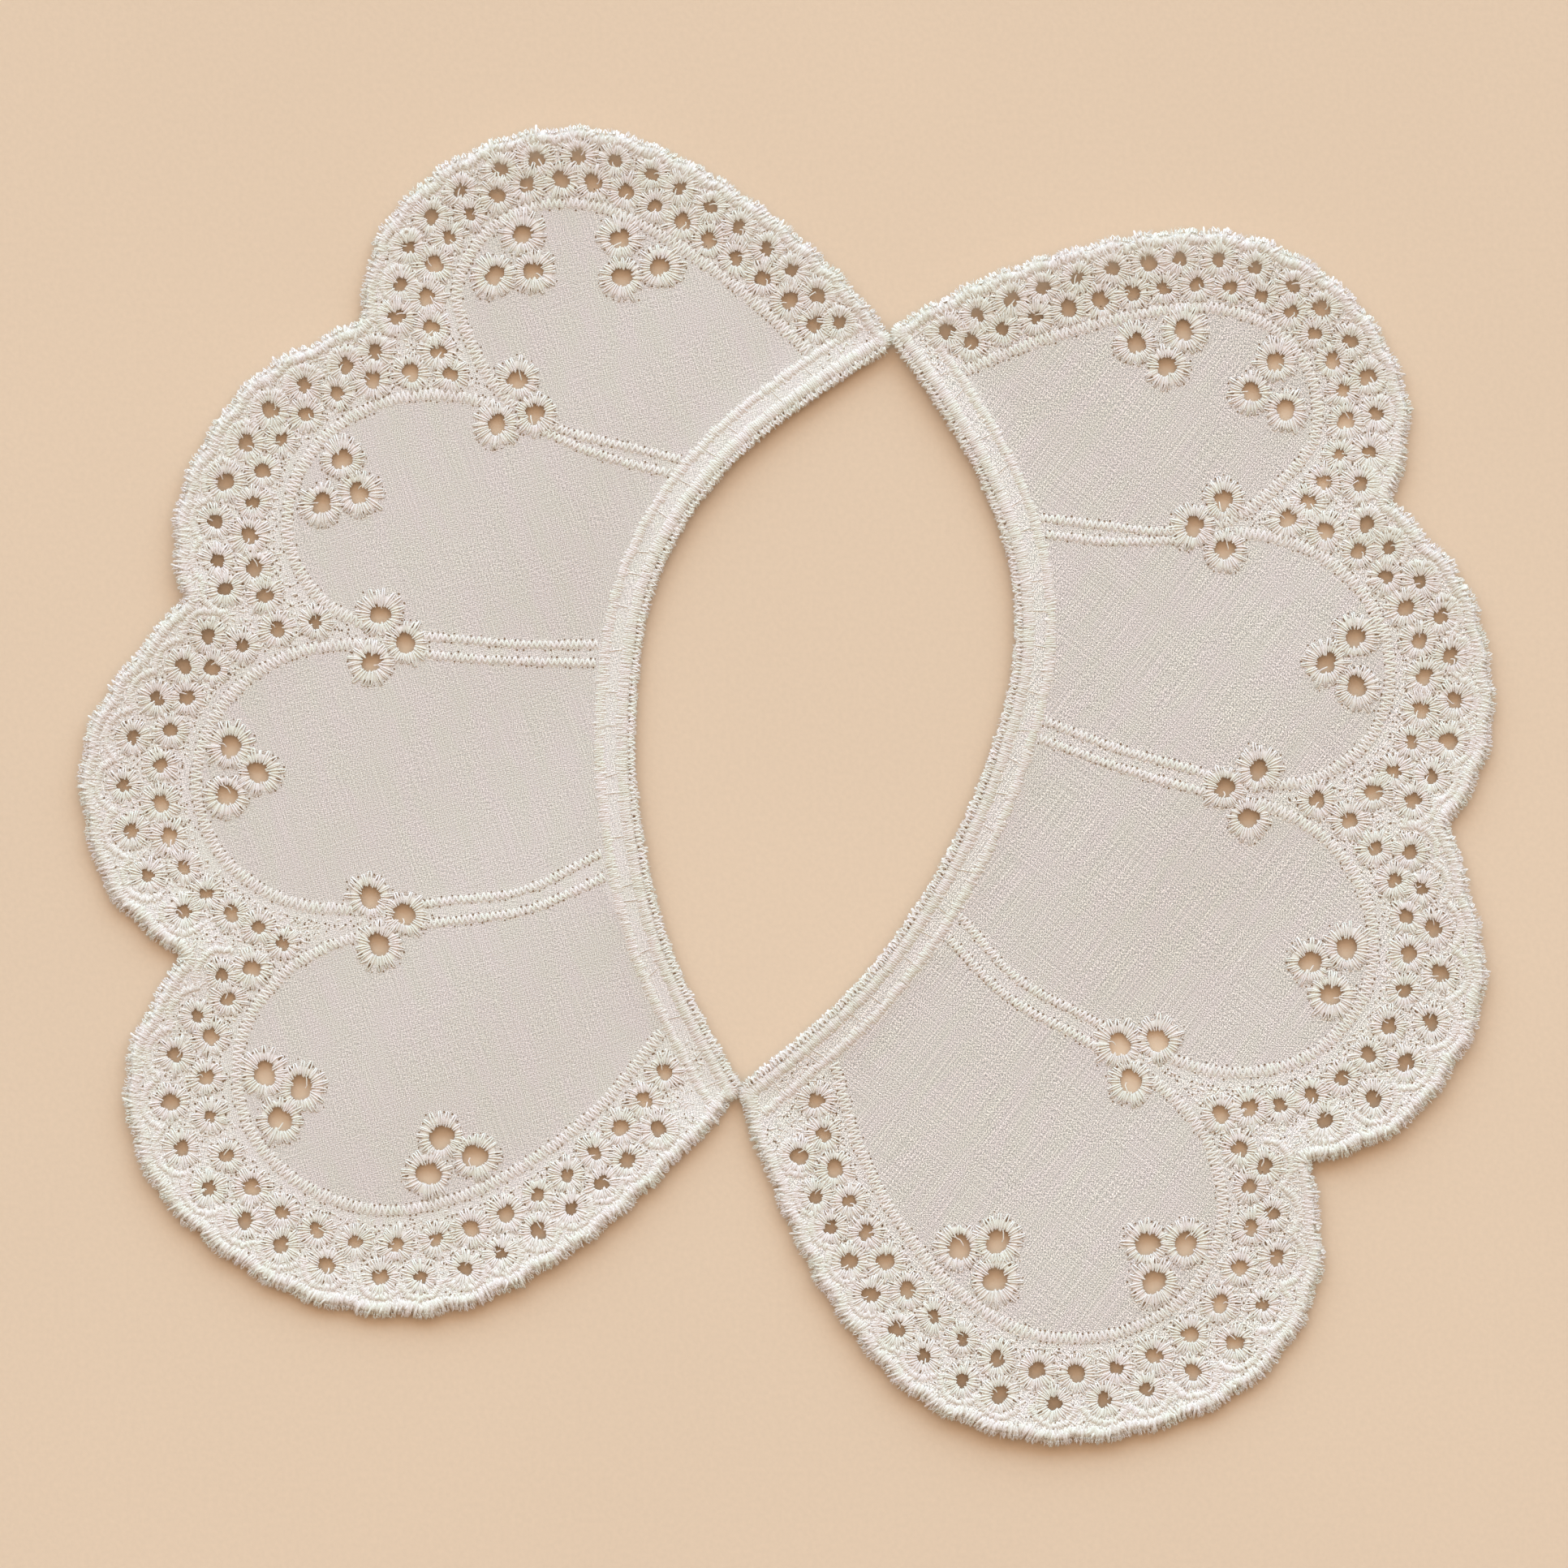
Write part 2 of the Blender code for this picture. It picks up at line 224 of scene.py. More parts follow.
# A wave texture of scale 1 repeats every 2 pi / 20 metres.
WAVE_SCALE = 2 * math.pi / (20 * WEAVE_PITCH)
GRAIN_DEGREES = {"left": -20.0, "right": 37.0}
FUZZ_SHARE = {"left": 0.64, "right": 0.92}
FUZZ_SCALE = 4500.0
FUZZ_SHIFTS = ((0.24 * MM, 0.24 * MM, 0), (-0.24 * MM, 0.24 * MM, 0))
# How much the slubs show: warp first, weft second.
SLUB_SHARES = {"left": (0.36, 0.18), "right": (0.74, 0.64)}
SLUB_TONES = ((0.30, 0.84), (0.50, 1.0), (0.66, 1.09), (0.80, 1.24))
TINT_TONES = ((0.35, (0.987, 1.004, 0.976)), (0.65, (1.016, 0.993, 1.016)))


def fine_noise(finish, vector, shifts, scale=1.0):
    """Noise less the same noise a little way off, so that only its finest grain is left."""
    left_over = calc(finish, "ADD", noise(finish, vector, scale, 0.0), 0.5)
    for shift in shifts:
        there = noise(finish, mapped(finish, vector, Location=shift), scale, 0.0)
        left_over = calc(finish, "MULTIPLY_ADD", there, -1.0 / len(shifts), left_over)
    return left_over


def make_lawn(side):
    lawn, shader = new_finish("cotton_lawn_" + side, 0.85, 0.12)
    place = node(lawn, "TexCoord").outputs["Object"]
    grain = mapped(lawn, place, Rotation=(0, 0, math.radians(GRAIN_DEGREES[side])))
    rough_wave = {"Scale": WAVE_SCALE, "Distortion": 2.2, "Detail": 2.0, "Detail Scale": 1.4}
    weave = calc(lawn, "MULTIPLY", *(bands(lawn, grain, direction, **rough_wave) for direction in "XY"))
    slubs = [
        fine_noise(lawn, mapped(lawn, grain, Scale=stretch), [shift])
        for stretch, shift in (((4000, 50, 1), (1.2, 0, 0)), ((50, 4000, 1), (0, 1.2, 0)))
    ]
    fuzz = fine_noise(lawn, place, FUZZ_SHIFTS, FUZZ_SCALE)
    slow = noise(lawn, mapped(lawn, grain, Scale=(240, 75, 1)), 1.0)
    mottle = noise(lawn, place, 1700.0, 2.5)
    worked = node(lawn, "Attribute", {"attribute_name": "worked"}).outputs["Fac"]
    colour = mix(lawn, (*LAWN_COLOUR, 1), (*WORKED_COLOUR, 1), worked, "MIX")
    layers = [
        (ramp(lawn, weave, (0.0, 0.94), (0.75, 1.045)), 1.0),
        (ramp(lawn, fuzz, (0.25, 0.57), (0.75, 1.43)), FUZZ_SHARE[side]),
        (ramp(lawn, slow, *TINT_TONES), 1.0),
        *((ramp(lawn, slub, *SLUB_TONES), share) for slub, share in zip(slubs, SLUB_SHARES[side])),
        (ramp(lawn, mottle, (0.30, 0.93), (0.45, 0.99), (0.7, 1.04)), worked),
    ]
    for layer, share in layers:
        colour = mix(lawn, colour, layer, share)
    height = calc(lawn, "MULTIPLY_ADD", calc(lawn, "MAXIMUM", *slubs), 0.8, weave)
    relief = calc(lawn, "MULTIPLY_ADD", calc(lawn, "MULTIPLY", mottle, worked), 2.2, height)
    cover(lawn, shader, colour, relief, 0.35, 0.00012)
    return lawn


lawns = {side: make_lawn(side) for side in SIDES}
print("lawn finishes:", [finish.name for finish in lawns.values()])

# %% [markdown]
# ## Embroidery thread
# The thread is two-ply mercerised cotton, so it is whiter than the lawn and has a soft gloss. A
# wave on the UV map runs slanting round it as the ply does. Each stitch has its own "tone", a small
# number that makes it a little brighter or duller than its neighbours.

# %% Make the thread and the painted shade of a needle hole
THREAD_COLOUR = (0.822, 0.773, 0.714)
PLY_SCALE = 0.55
PLY_SLANT = math.radians(35)
PAINTED_HOLE_SHADES = ((0.3, (0.16, 0.095, 0.052)), (0.7, (0.34, 0.23, 0.15)))

thread_finish, shader = new_finish("embroidery_cotton", 0.7, 0.1)
on_thread = node(thread_finish, "UVMap", {"uv_map": "thread"}).outputs["UV"]
slanting = mapped(thread_finish, on_thread, Rotation=(0, 0, PLY_SLANT))
ply = bands(thread_finish, slanting, "Y", Scale=PLY_SCALE, Distortion=0.6)
tone = node(thread_finish, "Attribute", {"attribute_name": "tone"}).outputs["Fac"]
patch = noise(thread_finish, node(thread_finish, "TexCoord").outputs["Object"], 230.0)
colour = (*THREAD_COLOUR, 1)
for layer in (
    ramp(thread_finish, tone, (0.0, (0.93, 0.92, 0.905)), (1.0, (1.02, 1.02, 1.025))),
    ramp(thread_finish, patch, (0.36, (0.975, 1.008, 0.962)), (0.64, (1.018, 0.985, 1.012))),
    ramp(thread_finish, ply, (0.1, 0.96), (0.8, 1.01)),
):
    colour = mix(thread_finish, colour, layer)
cover(thread_finish, shader, colour, ply, 0.35, 0.00006)

# Needle holes and slits get no real holes: their dark brown is painted shade on small discs.
painted_hole_shade, shader = new_finish("needle_hole_shade", 1.0, 0.0, 0.0)
speck = noise(painted_hole_shade, node(painted_hole_shade, "TexCoord").outputs["Object"], 2500.0)
painted_hole_shade.node_tree.links.new(ramp(painted_hole_shade, speck, *PAINTED_HOLE_SHADES), shader.inputs["Base Color"])
print("thread finish nodes:", len(thread_finish.node_tree.nodes))

# %% [markdown]
# ## The pattern, read from the solids
# A panel's top face has one long boundary, the collar's outline, and a short one for each eyelet:
# six corners in the border rows, eight in the trefoils. Each cord has a ridge, whose points in
# order are the line that its stitches follow. Loose copies are read, so the solids stay as they are.


# %% Read outline, eyelets and lines, in millimetres
BORDER_CORNERS = 6
TREFOIL_CORNERS = 8


def loose_copy(name):
    shape = bmesh.new()
    shape.from_mesh(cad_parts[name].data)
    bmesh.ops.remove_doubles(shape, verts=shape.verts, dist=1e-6)
    shape.verts.index_update()
    shape.faces.index_update()
    return shape


def chains(edges):
    """Edges joined end to end into runs of points."""
    beside = {}
    for edge in edges:
        a, b = edge.verts
        beside.setdefault(a, []).append(b)
        beside.setdefault(b, []).append(a)
    ends = sorted((v for v in beside if len(beside[v]) == 1), key=lambda v: v.index)
    unused = set(beside)
    runs = []
    for start in ends + sorted(beside, key=lambda v: v.index):
        if start not in unused:
            continue
        run = [start]
        unused.discard(start)
        while True:
            step = [v for v in beside[run[-1]] if v in unused]
            if not step:
                break
            run.append(step[0])
            unused.discard(step[0])
        runs.append(np.array([v.co[:2] for v in run]) / MM)
    return runs


def read_panel(side):
    shape = loose_copy(side + "_panel")
    up = [face.normal.z > 0.9 for face in shape.faces]
    rims = [e for e in shape.edges if sum(up[f.index] for f in e.link_faces) == 1]
    runs = sorted(chains(rims), key=len)
    shape.free()
    border = np.array([run.mean(0) for run in runs if len(run) == BORDER_CORNERS])
    trefoil = [run for run in runs if len(run) == TREFOIL_CORNERS]
    centres = np.array([run.mean(0) for run in trefoil])
    radii = np.array([np.linalg.norm(run - run.mean(0), axis=1).mean() for run in trefoil])
    return {"outline": runs[-1], "border": border, "trefoil": centres, "trefoil_radius": radii}


def read_ridge(name):
    shape = loose_copy(name)
    top = max(v.co.z for v in shape.verts) - 1e-5
    ridge = [e for e in shape.edges if all(v.co.z > top for v in e.verts)]
    run = max(chains(ridge), key=len)
    shape.free()
    return run


pattern = {side: read_panel(side) for side in SIDES}
for side in SIDES:
    cord_nodes = [n for n in sorted(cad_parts) if n.startswith(side) and not n.endswith("panel")]
    pattern[side]["lines"] = {name[len(side) + 1 :]: read_ridge(name) for name in cord_nodes}
    print(side, "outline points", len(pattern[side]["outline"]), "lines", len(cord_nodes))
    marks = pattern[side]
    print(side, "eyelets", len(marks["border"]), "border", len(marks["trefoil"]), "trefoil")


# %% [markdown]
# ## Smooth lines
# The solids' lines are short straight runs. Thread lies in curves, so each line is drawn again as a
# smooth curve through the same points and cut into equal steps. The satin cords are drawn on to
# the ends of the collar, and the petal lines to the cord that they run into.


# %% Curves through points
LINE_STEP = 0.5
OUTLINE_STEP = 0.7
# Rim points nearer to the neck cord than this are on the neck side.
NECK_BESIDE = 3.3


def smooth_line(points, step, closed=False):
    if closed:
        padded = np.vstack([points[-1:], points, points[:2]])
    else:
        padded = np.vstack([2 * points[0] - points[1], points, 2 * points[-1] - points[-2]])
    t = np.linspace(0, 1, 12, endpoint=False)[None, :, None]
    a, b, c, d = (padded[i : len(padded) - 3 + i, None] for i in range(4))
    square, cube = 2 * a - 5 * b + 4 * c - d, 3 * b - a - 3 * c + d
    curve = 0.5 * (2 * b + (c - a) * t + square * t**2 + cube * t**3)
    curve = curve.reshape(-1, 2)
    curve = np.vstack([curve, curve[:1] if closed else padded[-2:-1]])
    along = np.r_[0, np.cumsum(np.linalg.norm(np.diff(curve, axis=0), axis=1))]
    count = max(2, round(along[-1] / step))
    stations = np.linspace(0, along[-1], count + 1)
    if closed:
        stations = stations[:-1]
    return np.stack([np.interp(stations, along, curve[:, k]) for k in (0, 1)], axis=1)


def across(line, closed=False):
    """The direction to the left of a line at each of its points."""
    if closed:
        run = np.roll(line, -1, axis=0) - np.roll(line, 1, axis=0)
    else:
        run = np.gradient(line, axis=0)
    run /= np.maximum(np.linalg.norm(run, axis=1, keepdims=True), 1e-9)
    return np.stack([-run[:, 1], run[:, 0]], axis=1)


def distance_to(points, targets):
    """How far each point is from the nearest target, and which target that is."""
    gap, which = np.empty(len(points)), np.empty(len(points), int)
    for i in range(0, len(points), 2000):
        part = np.linalg.norm(points[i : i + 2000, None] - targets[None], axis=2)
        which[i : i + 2000] = part.argmin(1)
        gap[i : i + 2000] = part.min(1)
    return gap, which


def outward(line, outline):
    """Directions across a line towards the cloth's edge."""
    side_step = across(line)
    here = distance_to(line + side_step, outline)[0].mean()
    there = distance_to(line - side_step, outline)[0].mean()
    return side_step if here < there else -side_step


def drawn_on(line, target, stop, furthest):
    """A line with both ends drawn on, straight, until they are close enough to the target."""
    for _ in range(2):
        line = line[::-1]
        step = line[-1] - line[-4]
        step *= LINE_STEP / np.linalg.norm(step)
        added = []
        while len(added) * LINE_STEP < furthest:
            spot = line[-1] + (len(added) + 1) * step
            if distance_to(spot[None], target)[0][0] < stop:
                break
            added.append(spot)
        if len(added) * LINE_STEP < furthest and added:
            line = np.vstack([line, added])
    return line


def outer_edge(rim, neck, inset):
    """The rim without its neck side, moved in from the edge."""
    shifted = rim + inset * across(rim, closed=True)
    gap, nearest = distance_to(rim, neck)
    free = (gap > NECK_BESIDE) | (nearest < 2) | (nearest > len(neck) - 3)
    start = np.flatnonzero(free & ~np.roll(free, 1))
    spans = [np.flatnonzero(~np.roll(free, -at))[0] for at in start]
    at, span = start[np.argmax(spans)], max(spans)
    return smooth_line(np.roll(shifted, -at, axis=0)[:span:3], LINE_STEP)


def joined(parts):
    """Runs of points joined at their nearest ends into one loop."""
    parts = list(parts)
    loop = parts.pop(0)
    while parts:
        choices = []
        for k, part in enumerate(parts):
            for run in (part, part[::-1]):
                choices.append((np.linalg.norm(loop[-1] - run[0]), k, np.vstack([loop, run])))
                choices.append((np.linalg.norm(run[-1] - loop[0]), k, np.vstack([run, loop])))
        _, k, loop = min(choices, key=lambda choice: choice[0])
        parts.pop(k)
    return loop


def inside(points, loop):
    ahead = np.roll(loop, -1, axis=0)
    result = np.zeros(len(points), bool)
    for (x0, y0), (x1, y1) in zip(loop, ahead):
        crosses = (y0 > points[:, 1]) != (y1 > points[:, 1])
        if y0 != y1:
            result ^= crosses & (points[:, 0] < (x1 - x0) * (points[:, 1] - y0) / (y1 - y0) + x0)
    return result


for side in SIDES:
    marks = pattern[side]
    rim = smooth_line(marks["outline"], OUTLINE_STEP, closed=True)
    turning = np.sum(rim[:, 0] * np.roll(rim[:, 1], -1) - np.roll(rim[:, 0], -1) * rim[:, 1])
    marks["rim"] = rim if turning > 0 else rim[::-1]
    lines = {name: smooth_line(points, LINE_STEP) for name, points in marks["lines"].items()}
    lines["neck_cord"] = drawn_on(lines["neck_cord"], marks["rim"], 1.2, 10.0)
    lines["inner_neck_cord"] = drawn_on(lines["inner_neck_cord"], marks["rim"], 3.4, 14.0)
    inset = distance_to(lines["edge_cord"], marks["rim"])[0].mean()
    lines["edge_cord"] = outer_edge(marks["rim"], lines["neck_cord"], inset)
    petals = [name for name in lines if name.startswith("petal")]
    for name in petals:
        lines[name] = drawn_on(lines[name], lines["inner_neck_cord"], 1.2, 4.0)
    marks["lines"] = lines
    marks["petals"] = petals
    marks["rooms"] = [joined([lines[n] for n in petals if n[:7] == f"petal_{k}"]) for k in (1, 2, 3, 4)]
    print(side, "rim points", len(rim), "area in mm2", round(abs(turning) / 2))
    lengths = {name: round((len(line) - 1) * LINE_STEP) for name, line in lines.items()}
    print(side, "line lengths in mm", lengths)

# %% [markdown]
# ## How the cloth lies
# Cotton this fine never lies dead flat: it swells by nearly a millimetre between the stiff satin
# lines, and the heavy stitching lifts its edge by about one more. A few long slow waves, added
# together, give each half its own gentle lie, and a grid of distances from the edge gives the lift.
# Cloth and stitches both read the height, so they stay together.

# %% Height of the cloth above the table
REST_HEIGHT = 1.25
EDGE_LIFT = 1.05
NECK_LIFT = 0.85
LIFT_WIDTH = 8.0
LIFT_STEP = 1.5
NECK_SIDE = 2.0
NECK_BLEND = 6.0
WAVES = (
    # size, length along x, length along y, start
    (0.20, 19.0, 37.0, 0.6),
    (0.16, -31.0, 17.0, 2.1),
    (0.10, 11.0, -13.0, 4.0),
)
HALF_SHIFT = {"left": 0.0, "right": 1.7}

lifts = {}
for side in SIDES:
    rim = pattern[side]["rim"]
    lift_low, lift_high = rim.min(0) - LIFT_STEP, rim.max(0) + 2 * LIFT_STEP
    steps = [np.arange(a, b, LIFT_STEP) for a, b in zip(lift_low, lift_high)]
    squares = np.stack(np.meshgrid(*steps, indexing="ij"), axis=-1)
    rim_gap, neck_gap = (
        distance_to(squares.reshape(-1, 2), target)[0].reshape(squares.shape[:2])
        for target in (rim, pattern[side]["lines"]["neck_cord"])
    )
    outer_share = np.clip((neck_gap - rim_gap - NECK_SIDE) / NECK_BLEND, 0, 1)
    rim_lift = NECK_LIFT + (EDGE_LIFT - NECK_LIFT) * outer_share
    lifts[side] = lift_low, rim_lift * np.exp(-((rim_gap / LIFT_WIDTH) ** 2))


def lift_at(places, side):
    lift_low, lift = lifts[side]
    spot = np.clip((places - lift_low) / LIFT_STEP, 0, np.array(lift.shape) - 1.001)
    x, y = spot[..., 0].astype(int), spot[..., 1].astype(int)
    u, v = spot[..., 0] - x, spot[..., 1] - y
    near = lift[x, y] * (1 - u) + lift[x + 1, y] * u
    return near * (1 - v) + (lift[x, y + 1] * (1 - u) + lift[x + 1, y + 1] * u) * v


def lie(places, side):
    height = REST_HEIGHT + lift_at(places, side)
    for size, along_x, along_y, start in WAVES:
        height = height + size * np.sin(
            places[..., 0] / along_x + places[..., 1] / along_y + start + HALF_SHIFT[side]
        )
    return height


for side in SIDES:
    heights = lie(pattern[side]["rim"], side)
    print(side, "edge height in mm", round(heights.min(), 2), "to", round(heights.max(), 2))

# %% [markdown]
# ## The cut cloth
# Each half is one piece of lawn. A curve filled in with over a hundred holes would have no points
# inside it, so it could not swell. Instead the outline, the eyelets and an even scatter of points
# are joined into a net of near-equal triangles, the triangles outside the cloth are left out, and
# the net is given the cloth's thickness. Needlework never leaves a round hole, so each eyelet is
# pulled a little out of true.

# %% Cut the two halves out
CLOTH_THICKNESS = 0.38
CLOTH_STEP = 2.2
EDGE_TURN_IN = 0.8
BORDER_RADIUS = 1.83
TREFOIL_GROWTH = 1.04
BORDER_POINTS = 16
TREFOIL_POINTS = 22
EYELET_MARGIN = 0.5
WORKED_FADE = 3
CLOTH_LUCK = {"left": 11, "right": 12}


def eyelet_rim(centre, radius, count, luck):
    turn = np.linspace(0, 2 * math.pi, count, endpoint=False)
    wobble = 1 + 0.08 * np.sin(2 * turn + luck.uniform(0, 6.3))
    wobble += 0.05 * np.sin(3 * turn + luck.uniform(0, 6.3))
    wobble += luck.normal(0, 0.02, count)
    return centre + (radius * wobble)[:, None] * np.stack([np.cos(turn), np.sin(turn)], axis=1)


def cut_cloth(side):
    luck = np.random.default_rng(CLOTH_LUCK[side])
    marks = pattern[side]
    rim = marks["rim"] + EDGE_TURN_IN * across(marks["rim"], closed=True)
    marks["border_radius"] = BORDER_RADIUS * luck.uniform(0.86, 1.14, len(marks["border"]))
    loops = [rim]
    for centre, radius in zip(marks["border"], marks["border_radius"]):
        loops.append(eyelet_rim(centre, radius, BORDER_POINTS, luck))
    marks["trefoil_radius"] = TREFOIL_GROWTH * marks["trefoil_radius"]
    for centre, radius in zip(marks["trefoil"], marks["trefoil_radius"]):
        loops.append(eyelet_rim(centre, radius, TREFOIL_POINTS, luck))
    marks["eyelet_rims"] = loops[1:]
    points = np.vstack(loops)
    starts = np.cumsum([0] + [len(loop) for loop in loops])
    owner = np.repeat(np.arange(len(loops)), [len(loop) for loop in loops])
    edges = [
        (int(a + i), int(a + (i + 1) % (b - a)))
        for a, b in zip(starts[:-1], starts[1:])
        for i in range(b - a)
    ]
    low, high = rim.min(0), rim.max(0)
    rows = np.arange(low[1], high[1], CLOTH_STEP * 0.866)
    scatter = np.array(
        [
            (x + (CLOTH_STEP / 2) * (k % 2), y)
            for k, y in enumerate(rows)
            for x in np.arange(low[0], high[0], CLOTH_STEP)
        ]
    )
    scatter = scatter + luck.uniform(-0.2, 0.2, scatter.shape)
    scatter = scatter[inside(scatter, rim)]
    scatter = scatter[distance_to(scatter, points)[0] > CLOTH_STEP * 0.45]
    holes = np.vstack([marks["border"], marks["trefoil"]])
    reach = np.r_[marks["border_radius"], marks["trefoil_radius"]] + EYELET_MARGIN
    gap, which = distance_to(scatter, holes)
    scatter = scatter[gap > reach[which]]
    every = np.vstack([points, scatter])
    net = delaunay_2d_cdt([Vector(p) for p in every], edges, [], 0, 1e-6, True)
    flat = np.array([v[:] for v in net[0]])
    kin = np.array([owner[ids[0]] if ids[0] < len(owner) else -1 for ids in net[3]])
    faces = np.array([face for face in net[2] if len(face) == 3])
    in_hole = (kin[faces] > 0).all(1) & (kin[faces[:, 0]] == kin[faces[:, 1]])
    in_hole &= kin[faces[:, 1]] == kin[faces[:, 2]]
    faces = faces[inside(flat[faces].mean(1), rim) & ~in_hole]
    in_petal = np.zeros(len(flat), bool)
    for room in marks["rooms"]:
        in_petal |= inside(flat, room)
    line_gap = distance_to(flat, np.vstack([marks["lines"][name] for name in marks["petals"]]))[0]
    fade = line_gap / WORKED_FADE
    worked = np.clip(np.where(in_petal, 0.4 - fade, fade), 0, 1)
    return flat, faces, worked


def piece_from(name, points, faces, finish):
    mesh = bpy.data.meshes.new(name)
    mesh.vertices.add(len(points))
    mesh.vertices.foreach_set("co", (points * MM).astype(np.float32).ravel())
    mesh.loops.add(faces.size)
    mesh.loops.foreach_set("vertex_index", faces.astype(np.int32).ravel())
    mesh.polygons.add(len(faces))
    mesh.polygons.foreach_set("loop_start", np.arange(0, faces.size, 3, dtype=np.int32))
    mesh.update(calc_edges=True)
    mesh.validate()
    mesh.polygons.foreach_set("use_smooth", np.ones(len(faces), bool))
    mesh.materials.append(finish)
    piece = bpy.data.objects.new(name, mesh)
    bpy.context.scene.collection.objects.link(piece)
    return piece


def give_number(piece, name, values):
    attribute = piece.data.attributes.new(name, "FLOAT", "POINT")
    attribute.data.foreach_set("value", np.asarray(values, np.float32))


def give_uv(piece, uv):
    layer = piece.data.uv_layers.new(name="thread")
    layer.data.foreach_set("uv", uv.astype(np.float32).ravel())


cloths = {}
for side in SIDES:
    flat, faces, worked = cut_cloth(side)
    points = np.column_stack([flat, lie(flat, side)])
    cloth = piece_from(side + "_cloth", points, faces, lawns[side])
    give_number(cloth, "worked", worked)
    solid = cloth.modifiers.new("solidify", "SOLIDIFY")
    solid.thickness = CLOTH_THICKNESS * MM
    solid.offset = -1.0
    bpy.ops.object.select_all(action="DESELECT")
    cloth.select_set(True)
    bpy.context.view_layer.objects.active = cloth
    bpy.ops.object.modifier_apply(modifier=solid.name)
    cloths[side] = cloth
    corners = flat[faces]
    one, two = corners[:, 1] - corners[:, 0], corners[:, 2] - corners[:, 0]
    pattern[side]["area"] = abs(one[:, 0] * two[:, 1] - one[:, 1] * two[:, 0]).sum() / 2
    print(side, "cloth faces", len(cloth.data.polygons), "area in mm2", round(pattern[side]["area"]))

# %% [markdown]
# ## One stitch
# All the embroidery is one kind of stitch laid over and over. It starts as a thin bar with four
# sides. Cuts across it let it bend, and its two ends are drawn in, as a thread narrows where it
# goes down into the cloth. There are many thousands, so each has only a few faces.


# %% Model the stitches that are copied
def thread_bar(sides, cuts, end_width):
    bpy.ops.object.select_all(action="DESELECT")
    bpy.ops.mesh.primitive_cylinder_add(vertices=sides, radius=1, depth=1, end_fill_type="NGON")
    bar = bpy.context.object
    bpy.ops.object.mode_set(mode="EDIT")
    bpy.ops.mesh.select_mode(type="VERT")
    for cut in cuts:
        bpy.ops.mesh.select_all(action="SELECT")
        bpy.ops.mesh.bisect(plane_co=(0, 0, cut - 0.5), plane_no=(0, 0, 1))
    bpy.ops.mesh.select_all(action="DESELECT")
    bpy.ops.object.mode_set(mode="OBJECT")
    for vertex in bar.data.vertices:
        vertex.select = abs(vertex.co.z) > 0.49
    bpy.ops.object.mode_set(mode="EDIT")
    bpy.ops.transform.resize(value=(end_width, end_width, 1))
    bpy.ops.mesh.select_all(action="SELECT")
    bpy.ops.mesh.quads_convert_to_tris()
    bpy.ops.object.mode_set(mode="OBJECT")
    points = np.array([v.co[:] for v in bar.data.vertices])
    faces = np.array([p.vertices[:] for p in bar.data.polygons])
    bpy.data.meshes.remove(bar.data)
    return {"points": points, "faces": faces}


STITCH = thread_bar(4, (0.15, 0.5, 0.85), 0.65)
LOOP = thread_bar(4, (0.14, 0.52, 0.84), 0.75)
SHORT_STITCH = thread_bar(4, (0.25, 0.75), 0.65)
FIBRE = thread_bar(3, (0.5,), 0.5)
print("faces in each bar:", [len(bar["faces"]) for bar in (STITCH, LOOP, SHORT_STITCH, FIBRE)])

# %% [markdown]
# ## Laying stitches
# A stitch follows four guide points: where it leaves the cloth, two points that it bends towards,
# and where it goes in again. The bar is bent along that curve once for each stitch, and all the
# stitches of one kind are joined into one mesh. Thread pulled tight lies flat, so each bar is
# flattened, and its two sides are kept crisp while its back is shaded round.


# %% Bend bars along guide points and join them
SIDE_TURN = math.radians(80)
# Both halves are drawn with the same luck, as the same machine would stitch them.
SEEDS = {"rings": 21, "petals": 31, "neck": 41, "edge": 51, "filling": 56, "holes": 61, "ends": 71}

threads = {side: [] for side in SIDES}
needle_shade_marks = {side: [] for side in SIDES}


def lay_threads(side, kind, guides, radius, bar, luck, flatness=0.55, evenness=0.14, tones=(0, 1)):
    """guides: stitch, four points, x y z in millimetres."""
    guides = np.asarray(guides, float)
    count = len(guides)
    radius = np.broadcast_to(np.asarray(radius, float), (count,))
    radius = radius * luck.uniform(1 - evenness, 1 + evenness, count)
    t = bar["points"][:, 2] + 0.5
    u = 1 - t
    weight = np.stack([u**3, 3 * t * u**2, 3 * t**2 * u, t**3], axis=1)
    slope = np.stack([-3 * u**2, 3 * u**2 - 6 * t * u, 6 * t * u - 3 * t**2, 3 * t**2], axis=1)
    middle = np.einsum("mk,nkd->nmd", weight, guides)
    along = np.einsum("mk,nkd->nmd", slope, guides)
    chord = guides[:, 3] - guides[:, 0]
    along[..., :2] += 1e-4 * chord[:, None, :2] + 1e-9
    along /= np.linalg.norm(along, axis=2, keepdims=True)
    sideways = np.stack([-along[..., 1], along[..., 0], np.zeros(along.shape[:2])], axis=2)
    sideways /= np.maximum(np.linalg.norm(sideways, axis=2, keepdims=True), 1e-9)
    upward = np.cross(along, sideways)
    size = radius[:, None, None]
    points = middle + sideways * size * bar["points"][None, :, 0:1]
    points += upward * size * flatness * bar["points"][None, :, 1:2]
    faces = bar["faces"][None] + (np.arange(count) * len(t))[:, None, None]
    piece = piece_from(f"{side}_{kind}", points.reshape(-1, 3), faces.reshape(-1, 3), thread_finish)
    piece.data.set_sharp_from_angle(angle=SIDE_TURN)
    give_number(piece, "tone", np.repeat(luck.uniform(*tones, count), len(t)))
    length = np.linalg.norm(np.diff(middle[:, np.argsort(t)], axis=1), axis=2).sum(1)
    round_it = np.arctan2(bar["points"][:, 1], bar["points"][:, 0]) / math.pi
    uv = np.stack([np.tile(round_it, count), (length[:, None] * t[None]).ravel()], axis=1)
    give_uv(piece, uv[faces.reshape(-1)])
    threads[side].append(piece)


